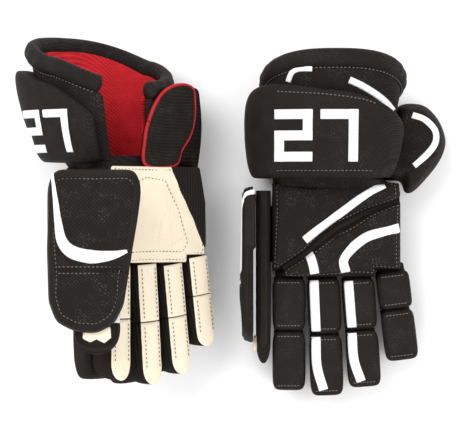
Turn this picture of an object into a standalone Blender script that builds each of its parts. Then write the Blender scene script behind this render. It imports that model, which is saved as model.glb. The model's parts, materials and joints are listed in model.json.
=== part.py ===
"""A pair of small ice hockey gloves lying side by side, fingers towards -Y, in metres, +Z up.

Both gloves come from one set of builders that work in a glove's own frame: x across the hand
from the thumb side (-) to the little finger side (+), y = 0 at the knuckles with the cuff
towards +y, z = 0 on the outside of the palm with the back of the hand towards +z.
The left-hand glove lies palm down. The right-hand glove is its mirror image on its back,
rolled so that the thumb side is up.
"""

import math

import bmesh
import bpy
from mathutils import Matrix, Vector

# Clearances
GAP = 0.0003  # between pieces that touch
CREASE = 0.0004  # on each side of a bending crease
RUN = 0.0008  # beside a piece that swings

# Hand
HAND_LENGTH = 0.0634  # knuckles to wrist crease
HAND_WIDTH = 0.086
THUMB_EDGE = -0.036  # x of the hand's thumb side
LEATHER = 0.0018  # palm and finger leather
HAND_HEIGHT = 0.031  # top of the hand liner above the palm's outside
LINER_WALL = 0.0025
LINER_SETBACK = 0.0065  # from the knuckles to the liner's front edge
INSERT_THICK = 0.0015  # plastic plates in the back of the hand and the thumb
PAD_THICK = 0.0145
PAD_EDGE = 0.004  # rounding of the pads' edges
PAD_CHANNEL = 0.0024  # sewn channel between the two backhand pads
# The channel's middle, as (x, y): from the knuckle line by the index finger up towards the cuff.
# Its y is drawn for a hand of CREASE_DRAWN_FOR and stretches with the hand's length.
CREASE_DRAWN_FOR = 0.0634
PAD_CREASE = [(-0.029, 0.006), (-0.016, 0.014), (-0.010, 0.019), (0.006, 0.032), (0.031, 0.0455)]
PAD_CREASE_END = 0.052  # y where it meets the little finger side
PALM_TAPER = (0.006, 0.004)  # how far the palm narrows to the wrist, little finger side first
PLATE_INSET = 0.006  # plastic plate inside the hand's edges
PLATE_Y = (0.012, HAND_LENGTH - 0.0054)

# Fingers: base length, tip length and y of the knuckle, thumb side first
FINGERS = {
    "index": (0.0360, 0.0400, 0.0),
    "middle": (0.0380, 0.0414, 0.0),
    "ring": (0.0350, 0.0385, 0.0),
    "little": (0.0260, 0.0345, 0.005),
}
FINGER_WIDTH = 0.0208
FINGER_SPACE = 0.0022
FINGER_HEIGHT = 0.0205  # leather sleeve
FINGER_WALL = 0.0020
SLEEVE_INSET = 0.0004  # the leather sleeve inside the roll's sides
FINGER_ROLL = 0.0185  # thickness of the padded roll on the sleeve
ROLL_EDGE = 0.0055
TIP_SLOPE = 0.35  # how far the tip's roll comes down at its end, as a share of its thickness
SLEEVE_CORNER = 0.005
TIP_STATIONS = [(0.0, 1.0), (0.72, 1.0), (0.93, 0.88), (1.0, 0.62)]  # share of the length, and scale

# Thumb, laid beside the hand
THUMB_TOP = HAND_LENGTH - 0.0054  # y of the sleeve's mouth
THUMB_TIP = -0.058
THUMB_DEPTH = 0.0100  # sleeve, across its thin way
THUMB_HEIGHT = 0.030
THUMB_BASE_Z = 0.014
THUMB_WALL = 0.0018
GUARD_TOP = HAND_LENGTH - 0.0029
GUARD_THICK = 0.0070
GUARD_LOW = 0.0005  # z of the guard's palm-side edge
GUARD_WIDTH = 0.060
GUARD_TIP = -0.044
GUARD_EDGE = 0.002
GUARD_PALM = [(0.030, 0.003), (0.005, 0.006), (-0.026, 0.011), (-0.038, 0.017), (GUARD_TIP, 0.028)]
GUARD_BACK = [(GUARD_TIP + 0.001, 0.018), (GUARD_TIP + 0.007, 0.006), (-0.024, 0.001), (0.010, 0.0)]
GUARD_BACK_TOP = 0.002
PLATE_SHARE = 0.85  # of the guard's and the sleeve's reach, for the plastic plate
THUMB_HINGE = (-0.0060, 0.0009)  # x and z of the swing's axis, in the palm leather
WEB_Y = (0.014, 0.045)  # leather web that ties the thumb to the palm
WEB_EASE = 0.0001  # the web is this much thinner than the palm on each side
WEB_END = 0.0002  # from the axis to the web's inner end
WEB_ROOM = 0.0007  # from the axis to the notch that the web lies in

# Cuff
WRIST_Y = HAND_LENGTH + CREASE  # wrist crease
CUFF_BASE = 0.0053  # lowest z of the shell
CUFF_START = WRIST_Y + 0.0026
CUFF_REACH = 0.0840  # length over which the cuff flares
CUFF_HALF_WIDTH = (0.038, 0.050)
CUFF_HALF_HEIGHT = (0.028, 0.040)
CUFF_SHIFT = (-0.001, 0.006)  # sideways drift of the section's centre
CUFF_SQUARE = 0.75  # exponent of the section: 1 is an ellipse, 0 a rectangle
CUFF_WALL = 0.006
CUFF_SLIT = (236.0, 276.0)  # degrees, the opening on the palm side
MOUTH_PALM = WRIST_Y + 0.0442
MOUTH_BACK = WRIST_Y + 0.0757
LINING_THICK = 0.0012
LINING_INSET = 0.0010
RIM_RADIUS = 0.0045
RIM_SEAT = 0.0020  # keeps the rim clear of the slanting mouth edge
ROLL_THICK = 0.0115
ROLL_SPAN = (25.0, 222.0)  # degrees round the section
ROLL_PEAK = 130.0  # degrees where the roll is longest
ROLL_LENGTHS = (0.034, 0.061, 0.030)  # little finger end, longest, palm end
FLAP_THICK = 0.005
WRIST_FLAP = [  # x, and y from the wrist crease, from the flap's root round to its root again
    (0.030, 0.0102),
    (0.038, 0.0202),
    (0.042, 0.0322),
    (0.042, 0.0482),
    (0.038, 0.0537),
    (0.026, 0.0542),
    (0.014, 0.0492),
    (0.006, 0.0402),
    (0.000, 0.0282),
    (-0.003, 0.0162),
]
FLAP_ROOT = (-0.002, 0.024)  # x
FLAP_EDGE = 0.0012
WING_Z = (0.012, 0.044)  # side panel
WING_SIDE_Y = (0.0042, 0.0282, 0.0502)  # from the wrist crease, where it follows the shell
WING_EDGE = [  # y from the wrist crease, and the share of the wing's reach, from the far end
    (0.0527, 0.45),
    (0.0447, 0.80),
    (0.0322, 1.00),
    (0.0222, 1.00),
    (0.0102, 0.80),
    (-0.0053, 0.34),
    (-0.0068, 0.12),
]
CUFF_EDGE = 0.003  # rounding of the big roll and the side panel
LEFT_WING = 0.030  # how far the side panel stands out from the cuff
RIGHT_WING = 0.007
LEFT_LEAN = 0.0  # how far the cuff leans sideways over its length
RIGHT_LEAN = -0.012

# The two gloves
LEFT_SPLAY = (0.0, 2.0, 4.0, 7.0)  # degrees, index to little finger
RIGHT_SPLAY = (0.0, 4.0, 7.0, 8.0)
RIGHT_ROLL = math.radians(44)
THUMB_ACROSS = math.radians(46)  # how far the right thumb lies over its palm
PAIR_SPACE = 0.0185  # between the gloves, so that the left thumb and the right little finger can move
RIGHT_SLIDE_Y = 0.010  # the right glove's place along its own length

COLOURS = {
    "black_nylon": ((0.018, 0.014, 0.016), 0.85),
    "roll_nylon": ((0.022, 0.018, 0.020), 0.80),
    "cream_leather": ((0.88, 0.80, 0.62), 0.75),
    "black_knit": ((0.012, 0.011, 0.012), 0.95),
    "red_lining": ((0.66, 0.02, 0.03), 0.85),
    "clear_plastic": ((0.75, 0.77, 0.78), 0.35),
}


def clear_scene():
    for obj in list(bpy.data.objects):
        bpy.data.objects.remove(obj, do_unlink=True)


def make_material(name):
    """A Principled material with the named colour and roughness."""
    colour, roughness = COLOURS[name]
    material = bpy.data.materials.new(name)
    material.use_nodes = True
    shader = material.node_tree.nodes["Principled BSDF"]
    shader.inputs["Base Color"].default_value = (*colour, 1.0)
    shader.inputs["Roughness"].default_value = roughness
    shader.inputs["Metallic"].default_value = 0.0
    return material


def mix(pair, t):
    return pair[0] + (pair[1] - pair[0]) * t


class Glove:
    """One glove: its empties, its pieces and how to add more of them."""

    def __init__(self, hand, collection, helpers, materials):
        self.hand = hand
        self.collection = collection
        self.helpers = helpers
        self.materials = materials
        self.pieces = []
        self.root = self.empty("hand", None, (0, 0, 0))

    def empty(self, name, parent, place, turn=0.0, axis="Z"):
        """A pivot at a place in the glove's frame, turned about one of its axes."""
        pivot = bpy.data.objects.new(f"{self.hand}_{name}_pivot", None)
        self.collection.objects.link(pivot)
        pivot.parent = parent
        pivot.matrix_local = Matrix.Translation(place) @ Matrix.Rotation(turn, 4, axis)
        return pivot

    def add(self, name, bm, material, pivot, origin=(0, 0, 0)):
        """Makes a piece of a mesh given in the glove's frame, hung on a pivot that stands at origin."""
        bmesh.ops.recalc_face_normals(bm, faces=bm.faces)
        bmesh.ops.translate(bm, verts=bm.verts, vec=-Vector(origin))
        mesh = bpy.data.meshes.new(name)
        bm.to_mesh(mesh)
        bm.free()
        piece = bpy.data.objects.new(f"{self.hand}_{name}", mesh)
        self.collection.objects.link(piece)
        piece.data.materials.append(self.materials[material])
        piece.parent = pivot
        self.pieces.append(piece)
        return piece


def round_edges(piece, width, segments=2):
    bevel = piece.modifiers.new("edges", "BEVEL")
    bevel.width = width
    bevel.segments = segments
    bevel.limit_method = "ANGLE"
    bevel.angle_limit = math.radians(40)


def thicken(piece, thickness, side):
    """A wall on one side of an open surface: side -1 is inward, 1 outward."""
    wall = piece.modifiers.new("wall", "SOLIDIFY")
    wall.thickness = thickness
    wall.offset = side
    wall.use_even_offset = True


def slab_mesh(outline, low, high, plane="XY"):
    """An outline extruded from low to high along the axis that its plane leaves out."""
    bm = bmesh.new()
    if plane == "XY":
        verts = [bm.verts.new((u, v, low)) for u, v in outline]
        way = (0, 0, high - low)
    else:  # the outline is in Y and Z
        verts = [bm.verts.new((low, u, v)) for u, v in outline]
        way = (high - low, 0, 0)
    face = bm.faces.new(verts)
    grown = bmesh.ops.extrude_face_region(bm, geom=[face])["geom"]
    moved = [item for item in grown if isinstance(item, bmesh.types.BMVert)]
    bmesh.ops.translate(bm, verts=moved, vec=way)
    return bm


def box_mesh(low, high):
    bm = bmesh.new()
    bmesh.ops.create_cube(bm, size=1.0)
    size = Vector(high) - Vector(low)
    bmesh.ops.scale(bm, verts=bm.verts, vec=size)
    bmesh.ops.translate(bm, verts=bm.verts, vec=Vector(low) + size / 2)
    return bm


def rounded_loop(centre, half, corner, steps=3):
    """Points of a rectangle with round corners, as (x, z) pairs."""
    points = []
    for quarter in range(4):
        sx = 1 if quarter in (0, 3) else -1
        sz = 1 if quarter in (0, 1) else -1
        for step in range(steps):
            angle = math.radians(90 * (quarter + step / (steps - 1)))
            x = centre[0] + sx * (half[0] - corner) + corner * math.cos(angle)
            z = centre[1] + sz * (half[1] - corner) + corner * math.sin(angle)
            points.append((x, z))
    return points


def ring_surface(rings, closed, cap=False):
    """An open surface through rings of equally many points; cap closes its last ring."""
    bm = bmesh.new()
    grid = [[bm.verts.new(point) for point in ring] for ring in rings]
    count = len(grid[0])
    for near, far in zip(grid, grid[1:]):
        for i in range(count if closed else count - 1):
            j = (i + 1) % count
            bm.faces.new((near[i], near[j], far[j], far[i]))
    if cap:
        bm.faces.new(grid[-1])
    return bm


def sleeve(glove, name, pivot, origin, x_range, z_range, y_range, wall, material, tip=False):
    """A sleeve of oblong section along y, from y_range[0] to y_range[1], with a closed round tip."""
    centre = (sum(x_range) / 2, sum(z_range) / 2)
    half = ((x_range[1] - x_range[0]) / 2, (z_range[1] - z_range[0]) / 2)
    corner = min(SLEEVE_CORNER, 0.9 * min(half))
    stations = TIP_STATIONS if tip else [(0.0, 1.0), (1.0, 1.0)]
    rings = []
    for share, scale in stations:
        y = mix(y_range, share)
        low_kept = z_range[0] + half[1] * scale  # the palm side stays flat
        size = (half[0] * scale, half[1] * scale)
        loop = rounded_loop((centre[0], low_kept), size, corner * scale)
        rings.append([(x, y, z) for x, z in loop])
    piece = glove.add(name, ring_surface(rings, True, cap=tip), material, pivot, origin)
    thicken(piece, wall, -1)
    return piece


def add_hand(glove):
    """Palm leather, liner, plastic plate and the two backhand pads."""
    right = THUMB_EDGE + HAND_WIDTH
    step_x = finger_centre(3) - FINGER_WIDTH / 2 - FINGER_SPACE / 2  # little finger's side of the step
    step_y = FINGERS["little"][2] + CREASE
    notch = THUMB_HINGE[0] + WEB_ROOM
    palm = [
        (THUMB_EDGE, WEB_Y[0] - GAP),
        (THUMB_EDGE, CREASE),
        (step_x, CREASE),
        (step_x, step_y),
        (right, step_y),
        (right, 0.6 * HAND_LENGTH),
        (right - PALM_TAPER[0], HAND_LENGTH),
        (THUMB_EDGE + PALM_TAPER[1], HAND_LENGTH),
        (THUMB_EDGE, WEB_Y[1] + GAP),
        (notch, WEB_Y[1] + GAP),
        (notch, WEB_Y[0] - GAP),
    ]
    glove.add("palm_leather", slab_mesh(palm, 0.0, LEATHER), "cream_leather", glove.root)
    sleeve(
        glove,
        "hand_liner",
        glove.root,
        (0, 0, 0),
        (THUMB_EDGE + 0.0005, right - 0.0005),
        (LEATHER + GAP, HAND_HEIGHT),
        (LINER_SETBACK, HAND_LENGTH - 0.001),
        LINER_WALL,
        "black_knit",
    )
    insert_low = HAND_HEIGHT + GAP
    insert_high = insert_low + INSERT_THICK
    near, far = PLATE_Y
    left_edge = THUMB_EDGE + PLATE_INSET
    plate = [(left_edge, near), (right - PLATE_INSET, near)]
    plate += [(right - PLATE_INSET, far), (left_edge, far)]
    plate = slab_mesh(plate, insert_low, insert_high)
    glove.add("backhand_insert", plate, "clear_plastic", glove.root)
    low = insert_high + GAP
    high = low + PAD_THICK
    half = PAD_CHANNEL / 2
    stretch = HAND_LENGTH / CREASE_DRAWN_FOR
    crease = [(x, y * stretch) for x, y in PAD_CREASE]
    crease_end = PAD_CREASE_END * stretch
    shift = 0.6 * half  # the channel runs slantwise, so each side moves back both ways
    lower = [(THUMB_EDGE + 0.005, CREASE), (step_x, CREASE), (step_x, step_y), (right, step_y)]
    lower += [(right, crease_end - half)]
    lower += [(x + shift, y - half) for x, y in reversed(crease)]
    lower = slab_mesh(lower, low, high)
    round_edges(glove.add("backhand_pad_lower", lower, "black_nylon", glove.root), PAD_EDGE)
    upper = [(THUMB_EDGE, CREASE + 0.003)]
    upper += [(x - shift, y + half) for x, y in crease]
    upper += [(right, crease_end + half), (right - 0.001, HAND_LENGTH), (THUMB_EDGE, HAND_LENGTH)]
    upper = slab_mesh(upper, low, high)
    round_edges(glove.add("backhand_pad_upper", upper, "black_nylon", glove.root), PAD_EDGE)


def finger_centre(place):
    return THUMB_EDGE + 0.001 + FINGER_WIDTH / 2 + place * (FINGER_WIDTH + FINGER_SPACE)


def add_finger(glove, place, name, splay):
    """Base and tip of one finger, each a leather sleeve under a padded roll, hinged at the palm side."""
    base_length, tip_length, knuckle = FINGERS[name]
    turn = math.radians(splay)
    rounded = FINGER_WIDTH / 2 - SLEEVE_CORNER
    root = Vector((finger_centre(place), knuckle - rounded * abs(math.sin(turn)), 0))
    knuckle_pivot = glove.empty(f"{name}_knuckle", glove.root, root, turn)
    middle = Vector((0, -base_length, 0))
    middle_pivot = glove.empty(f"{name}_middle", knuckle_pivot, middle)
    half = FINGER_WIDTH / 2
    origin = (0, 0, 0)
    roll_low = FINGER_HEIGHT + GAP
    roll_high = roll_low + FINGER_ROLL
    inner = (-half + SLEEVE_INSET, half - SLEEVE_INSET)
    base_y = (-CREASE, -base_length + CREASE)
    lining = (inner, (0, FINGER_HEIGHT))
    pivots = (knuckle_pivot, middle_pivot)
    made_of = (FINGER_WALL, "cream_leather")
    sleeve(glove, f"{name}_base_sleeve", pivots[0], origin, *lining, base_y, *made_of)
    roll = box_mesh((-half, base_y[1], roll_low), (half, base_y[0], roll_high))
    round_edges(glove.add(f"{name}_base_roll", roll, "roll_nylon", knuckle_pivot), ROLL_EDGE)
    tip_y = (-CREASE, -tip_length)
    sleeve(glove, f"{name}_tip_sleeve", pivots[1], origin, *lining, tip_y, *made_of, tip=True)
    roll = box_mesh((-half, tip_y[1], roll_low), (half, tip_y[0], roll_high))
    for vert in roll.verts:
        if vert.co.y < -tip_length / 2 and vert.co.z > roll_low + FINGER_ROLL / 2:
            vert.co.z -= TIP_SLOPE * FINGER_ROLL
    round_edges(glove.add(f"{name}_tip_roll", roll, "roll_nylon", middle_pivot), ROLL_EDGE)


def add_thumb(glove, turn):
    """Thumb sleeve, plastic plate and guard, which swing together about an axis in the palm."""
    hinge = Vector((THUMB_HINGE[0], 0, THUMB_HINGE[1]))
    pivot = glove.empty("thumb", glove.root, hinge, -turn, "Y")
    inner = THUMB_EDGE - RUN
    z_range = (THUMB_BASE_Z, THUMB_BASE_Z + THUMB_HEIGHT)
    thumb_sleeve = sleeve(
        glove,
        "thumb_sleeve",
        pivot,
        hinge,
        (inner - THUMB_DEPTH, inner),
        z_range,
        (THUMB_TOP, THUMB_TIP),
        THUMB_WALL,
        "black_knit",
        True,
    )
    # The web runs under the sleeve's inner wall, then across to the axis in the palm's plane.
    low = WEB_EASE
    high = LEATHER - WEB_EASE
    tongue = box_mesh((inner - THUMB_WALL, WEB_Y[0], low), (THUMB_HINGE[0] - WEB_END, WEB_Y[1], high))
    add_to(glove, thumb_sleeve, "web_tongue", tongue, hinge)
    post = box_mesh((inner - THUMB_WALL, WEB_Y[0], low), (inner, WEB_Y[1], z_range[0] + SLEEVE_CORNER))
    add_to(glove, thumb_sleeve, "web_post", post, hinge)

    plate_in = inner - THUMB_DEPTH - GAP
    plate = box_mesh(
        (plate_in - INSERT_THICK, PLATE_SHARE * GUARD_TIP, z_range[0]),
        (plate_in, PLATE_SHARE * THUMB_TOP, z_range[1]),
    )
    glove.add("thumb_insert", plate, "clear_plastic", pivot, hinge)
    guard_in = plate_in - INSERT_THICK - GAP
    low = GUARD_LOW
    high = GUARD_LOW + GUARD_WIDTH
    outline = [(GUARD_TOP, low)]
    outline += [(y, low + up) for y, up in GUARD_PALM]
    outline += [(y, high - down) for y, down in GUARD_BACK]
    outline += [(GUARD_TOP, high - GUARD_BACK_TOP)]
    guard = slab_mesh(outline, guard_in - GUARD_THICK, guard_in, "YZ")
    round_edges(glove.add("thumb_guard", guard, "black_nylon", pivot, hinge), GUARD_EDGE)


def cuff_point(angle, y, out, lean):
    """A point of the cuff's section at y: a squared ellipse, grown outward by out; angle in degrees."""
    t = (y - CUFF_START) / CUFF_REACH
    c = math.cos(math.radians(angle))
    s = math.sin(math.radians(angle))
    half_height = mix(CUFF_HALF_HEIGHT, t)
    x = lean * t + mix(CUFF_SHIFT, t)
    x += (mix(CUFF_HALF_WIDTH, t) + out) * math.copysign(abs(c) ** CUFF_SQUARE, c)
    z = CUFF_BASE + half_height + (half_height + out) * math.copysign(abs(s) ** CUFF_SQUARE, s)
    return (x, y, z)


def mouth_y(angle):
    """How far the shell reaches: furthest on the back, least on the palm side."""
    return mix((MOUTH_PALM, MOUTH_BACK), (1 + math.sin(math.radians(angle))) / 2)


def roll_y(angle):
    """Far edge of the big roll: a parabola on each side of its longest place."""
    first, longest, last = ROLL_LENGTHS
    if angle < ROLL_PEAK:
        share = (ROLL_PEAK - angle) / (ROLL_PEAK - ROLL_SPAN[0])
        return CUFF_START + longest - (longest - first) * share**2
    share = (angle - ROLL_PEAK) / (ROLL_SPAN[1] - ROLL_PEAK)
    return CUFF_START + longest - (longest - last) * share**2


def cuff_sheet(angles, start, end_of, out, lean, stations=4):
    """A surface that follows the cuff between start and end_of(angle)."""
    rings = []
    for station in range(stations):
        share = station / (stations - 1)
        rings.append([cuff_point(a, mix((start, end_of(a)), share), out, lean) for a in angles])
    return ring_surface(rings, False)


def span(first, last, count):
    return [mix((first, last), i / (count - 1)) for i in range(count)]


def add_to(glove, piece, name, bm, origin):
    """Joins a helper solid, given in the glove's frame, to a piece; the helper itself is left out."""
    bmesh.ops.recalc_face_normals(bm, faces=bm.faces)
    bmesh.ops.translate(bm, verts=bm.verts, vec=-Vector(origin))
    mesh = bpy.data.meshes.new(name)
    bm.to_mesh(mesh)
    bm.free()
    helper = bpy.data.objects.new(f"{glove.hand}_{name}", mesh)
    glove.helpers.objects.link(helper)
    helper.parent = piece.parent
    helper.hide_render = True
    helper.display_type = "WIRE"
    union = piece.modifiers.new(name, "BOOLEAN")
    union.operation = "UNION"
    union.object = helper


def add_cuff(glove, wing_reach, lean):
    """Shell, red lining, rim, big roll, side panel and wrist flap, hinged at the wrist crease."""
    wrist = Vector((0, WRIST_Y, 0))
    pivot = glove.empty("wrist", glove.root, wrist)
    round_way = span(CUFF_SLIT[1] - 360, CUFF_SLIT[0], 25)
    shell = cuff_sheet(round_way, CUFF_START, mouth_y, 0.0, lean)
    thicken(glove.add("cuff_shell", shell, "black_nylon", pivot, wrist), CUFF_WALL, -1)
    inside = -(CUFF_WALL + GAP)
    lining_start = CUFF_START + LINING_INSET
    lining = cuff_sheet(round_way, lining_start, lambda a: mouth_y(a) - LINING_INSET, inside, lean)
    thicken(glove.add("cuff_lining", lining, "red_lining", pivot, wrist), LINING_THICK, -1)

    roll_way = span(*ROLL_SPAN, 15)
    roll = cuff_sheet(roll_way, CUFF_START, roll_y, GAP, lean)
    roll = glove.add("cuff_roll", roll, "roll_nylon", pivot, wrist)
    thicken(roll, ROLL_THICK, 1)
    round_edges(roll, CUFF_EDGE, 1)

    rim_way = span(CUFF_SLIT[1] - 360, CUFF_SLIT[0], 19)
    beyond = RIM_RADIUS + RIM_SEAT
    centres = [cuff_point(a, mouth_y(a) + beyond, -CUFF_WALL / 2, lean) for a in rim_way]
    add_tube(glove, "cuff_rim", centres, RIM_RADIUS, "roll_nylon", pivot, wrist)

    hand_side = THUMB_EDGE + HAND_WIDTH + RUN
    wing = [(cuff_point(0, WRIST_Y + y, GAP * 2, lean)[0], WRIST_Y + y) for y in WING_SIDE_Y]
    wing += [(hand_side + wing_reach * share, WRIST_Y + y) for y, share in WING_EDGE]
    wing += [(hand_side, WRIST_Y + CREASE)]
    wing = glove.add("cuff_side_panel", slab_mesh(wing, *WING_Z), "black_nylon", pivot, wrist)
    round_edges(wing, CUFF_EDGE)

    front = WRIST_Y + CREASE
    flap = [(FLAP_ROOT[0], front), (FLAP_ROOT[1], front)]
    flap += [(x, WRIST_Y + y) for x, y in WRIST_FLAP]
    flap = slab_mesh(flap, 0.0, FLAP_THICK)
    round_edges(glove.add("wrist_flap", flap, "black_nylon", pivot, wrist), FLAP_EDGE)


def add_tube(glove, name, centres, radius, material, pivot, origin):
    """A round tube with closed ends through the given centres."""
    curve = bpy.data.curves.new(name, "CURVE")
    curve.dimensions = "3D"
    curve.bevel_depth = radius
    curve.bevel_resolution = 2
    curve.use_fill_caps = True
    spline = curve.splines.new("POLY")
    spline.points.add(len(centres) - 1)
    for point, centre in zip(spline.points, centres):
        point.co = (*(Vector(centre) - origin), 1.0)
    tube = bpy.data.objects.new(f"{glove.hand}_{name}", curve)
    glove.collection.objects.link(tube)
    curve.materials.append(glove.materials[material])
    tube.parent = pivot
    glove.pieces.append(tube)


def build_glove(hand, collections, materials, splay, thumb_turn, wing_reach, lean):
    glove = Glove(hand, *collections, materials)
    add_hand(glove)
    for place, name in enumerate(FINGERS):
        add_finger(glove, place, name, splay[place])
    add_thumb(glove, thumb_turn)
    add_cuff(glove, wing_reach, lean)
    return glove


def extents(pieces):
    """Lowest and highest corner of some pieces, as they stand."""
    graph = bpy.context.evaluated_depsgraph_get()
    points = []
    for piece in pieces:
        shape = piece.evaluated_get(graph)
        mesh = shape.to_mesh()
        points += [shape.matrix_world @ vert.co for vert in mesh.vertices]
        shape.to_mesh_clear()
    low = Vector(min(p[i] for p in points) for i in range(3))
    high = Vector(max(p[i] for p in points) for i in range(3))
    return low, high


def main():
    clear_scene()
    collections = [bpy.data.collections.new(name) for name in ("hockey_gloves", "helpers")]
    for collection in collections:
        bpy.context.scene.collection.children.link(collection)
    materials = {name: make_material(name) for name in COLOURS}
    left = build_glove("left", collections, materials, LEFT_SPLAY, 0.0, LEFT_WING, LEFT_LEAN)
    right_pose = (RIGHT_SPLAY, THUMB_ACROSS, RIGHT_WING, RIGHT_LEAN)
    right = build_glove("right", collections, materials, *right_pose)
    on_its_back = Matrix.Scale(-1, 4, (0, 0, 1))
    right.root.matrix_local = Matrix.Rotation(RIGHT_ROLL, 4, "Y") @ on_its_back
    bpy.context.view_layer.update()

    left_low, _ = extents(left.pieces)
    right_low, right_high = extents(right.pieces)
    beside = Vector((left_low.x - PAIR_SPACE - right_high.x, RIGHT_SLIDE_Y, -right_low.z))
    right.root.matrix_local = Matrix.Translation(beside) @ right.root.matrix_local
    bpy.context.view_layer.update()
    low, high = extents(left.pieces + right.pieces)
    centred = Matrix.Translation((-(low.x + high.x) / 2, -(low.y + high.y) / 2, -low.z))
    for glove in (left, right):
        glove.root.matrix_local = centred @ glove.root.matrix_local


main()
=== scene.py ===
"""A pair of ice hockey gloves: finished surfaces, stage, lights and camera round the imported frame.

Every piece is worked out in its glove's own axes: x across the hand from the thumb side, y from the
knuckles to the cuff, z from the outside of the palm to the back of the hand. The right-hand glove has
the same axes mirrored, so each shape is written once.
"""
import json
import math

import bmesh
import bpy
import numpy as np
from bpy.props import FloatProperty, FloatVectorProperty, IntProperty, PointerProperty
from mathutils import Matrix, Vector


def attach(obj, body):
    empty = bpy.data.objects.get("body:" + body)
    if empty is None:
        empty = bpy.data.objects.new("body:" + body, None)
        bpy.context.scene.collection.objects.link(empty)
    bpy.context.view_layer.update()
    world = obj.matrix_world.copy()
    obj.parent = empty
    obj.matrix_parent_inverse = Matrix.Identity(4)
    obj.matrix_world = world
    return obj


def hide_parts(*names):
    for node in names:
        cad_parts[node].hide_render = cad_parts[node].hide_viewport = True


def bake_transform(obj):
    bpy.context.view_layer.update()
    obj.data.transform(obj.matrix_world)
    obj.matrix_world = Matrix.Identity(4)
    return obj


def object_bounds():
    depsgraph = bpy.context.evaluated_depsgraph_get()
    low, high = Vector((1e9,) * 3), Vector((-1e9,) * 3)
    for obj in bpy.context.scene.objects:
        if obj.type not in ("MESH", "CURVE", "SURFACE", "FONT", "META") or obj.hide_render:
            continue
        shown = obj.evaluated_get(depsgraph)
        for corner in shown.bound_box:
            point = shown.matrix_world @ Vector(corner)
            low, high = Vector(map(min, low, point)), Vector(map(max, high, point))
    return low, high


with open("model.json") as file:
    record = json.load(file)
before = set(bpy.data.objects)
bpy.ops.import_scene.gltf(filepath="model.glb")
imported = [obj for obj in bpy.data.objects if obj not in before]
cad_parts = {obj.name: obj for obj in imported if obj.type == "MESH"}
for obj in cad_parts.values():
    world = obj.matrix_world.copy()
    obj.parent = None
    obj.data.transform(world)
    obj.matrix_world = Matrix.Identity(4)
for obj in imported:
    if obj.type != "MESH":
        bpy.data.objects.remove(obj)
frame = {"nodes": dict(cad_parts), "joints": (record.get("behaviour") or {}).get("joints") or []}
CAD_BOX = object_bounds()

bl_info = {
    "name": "Hockey glove pair",
    "version": (1, 0, 0),
    "blender": (4, 5, 0),
    "location": "View3D > Sidebar > Gloves",
    "description": "Models and finishes a pair of ice hockey gloves round its packed frame",
    "category": "Add Mesh",
}

SIDES = ("left", "right")
FINGERS = ("index", "middle", "ring", "little")
JOINTS = {joint["name"]: joint for joint in frame["joints"]}

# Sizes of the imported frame, in metres, in a glove's own axes. A pair of values runs from the cuff's foot
# to its mouth, and angles run round the cuff in degrees, from the little finger side over the back.
WRIST_Y = 0.0638
THUMB_EDGE = -0.036
HAND_WIDTH = 0.086
LITTLE_EDGE = THUMB_EDGE + HAND_WIDTH
HAND_LENGTH = 0.0634
STEP_X = 0.0336  # where the knuckle line steps back beside the little finger
STEP_Y = 0.0054
THUMB_HINGE = (-0.0060, 0.0009)  # x and z
CUFF_BASE = 0.0053
CUFF_START = 0.0664
CUFF_REACH = 0.0840
CUFF_HALF_WIDTH = (0.038, 0.050)
CUFF_HALF_HEIGHT = (0.028, 0.040)
CUFF_SHIFT = (-0.001, 0.006)
CUFF_LEAN = {"left": 0.0, "right": -0.012}
WING_REACH = {"left": 0.030, "right": 0.007}
CUFF_SQUARE = 0.75  # power of the squared ellipse
CUFF_WALL = 0.006
CUFF_SLIT = (236.0, 276.0)
MOUTH_PALM = 0.108
MOUTH_BACK = 0.1395
ROLL_SPAN = (25.0, 222.0)
ROLL_PEAK = 130.0
ROLL_LENGTHS = (0.034, 0.061, 0.030)  # at its first end, its peak and its last end
ROLL_THICK = 0.0115
ROLL_CROWN = 0.0022


# ---------------------------------------------------------------- own axes


class Axes:
    """An origin and three directions. Points worked out in them are placed in the frame by world()."""

    def __init__(self, origin, rows):
        self.origin = np.array(origin, float)
        self.rows = np.array(rows, float)

    def world(self, points):
        return self.origin + np.asarray(points, float) @ self.rows

    def local(self, points):
        return (np.asarray(points, float) - self.origin) @ self.rows.T

    def seen(self, order, signs=(1, 1, 1)):
        """The same place with its axes in another order, some of them turned round."""
        return Axes(self.origin, [self.rows[i] * s for i, s in zip(order, signs)])


def flip_of(side):
    """The right-hand glove is the left-hand one mirrored."""
    return 1.0 if side == "left" else -1.0


def glove_axes(side):
    """The glove's axes, from its wrist joint: its axis lies along x, and y is the frame's own."""
    joint = JOINTS[f"{side}_wrist_flex"]
    x = -flip_of(side) * np.array(joint["axis"])
    y = np.array((0.0, 1.0, 0.0))
    z = flip_of(side) * np.cross(x, y)
    return Axes(np.array(joint["pos_m"]) - WRIST_Y * y, (x, y, z))


def finger_axes(side, joint_name):
    """Axes at a finger joint: x along the hinge, -y towards the fingertip."""
    joint = JOINTS[f"{side}_{joint_name}"]
    z = glove_axes(side).rows[2]
    x = flip_of(side) * np.array(joint["axis"])
    return Axes(joint["pos_m"], (x, flip_of(side) * np.cross(z, x), z))


def thumb_axes(side):
    """The glove's axes turned with the thumb, so the thumb is worked out as if it lay beside the hand."""
    joint = JOINTS[f"{side}_thumb_swing"]
    turn = math.radians(-joint["range_deg"][0])
    x, y, z = glove_axes(side).rows
    turned_x = math.cos(turn) * x + math.sin(turn) * z
    turned_z = -math.sin(turn) * x + math.cos(turn) * z
    origin = np.array(joint["pos_m"]) - THUMB_HINGE[0] * turned_x - THUMB_HINGE[1] * turned_z
    return Axes(origin, (turned_x, y, turned_z))


def box_in(axes, node):
    """Lowest and highest corner of a CAD node in the given axes."""
    mesh = frame["nodes"][node].data
    points = np.empty(len(mesh.vertices) * 3)
    mesh.vertices.foreach_get("co", points)
    points = axes.local(points.reshape(-1, 3))
    return points.min(0), points.max(0)


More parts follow.
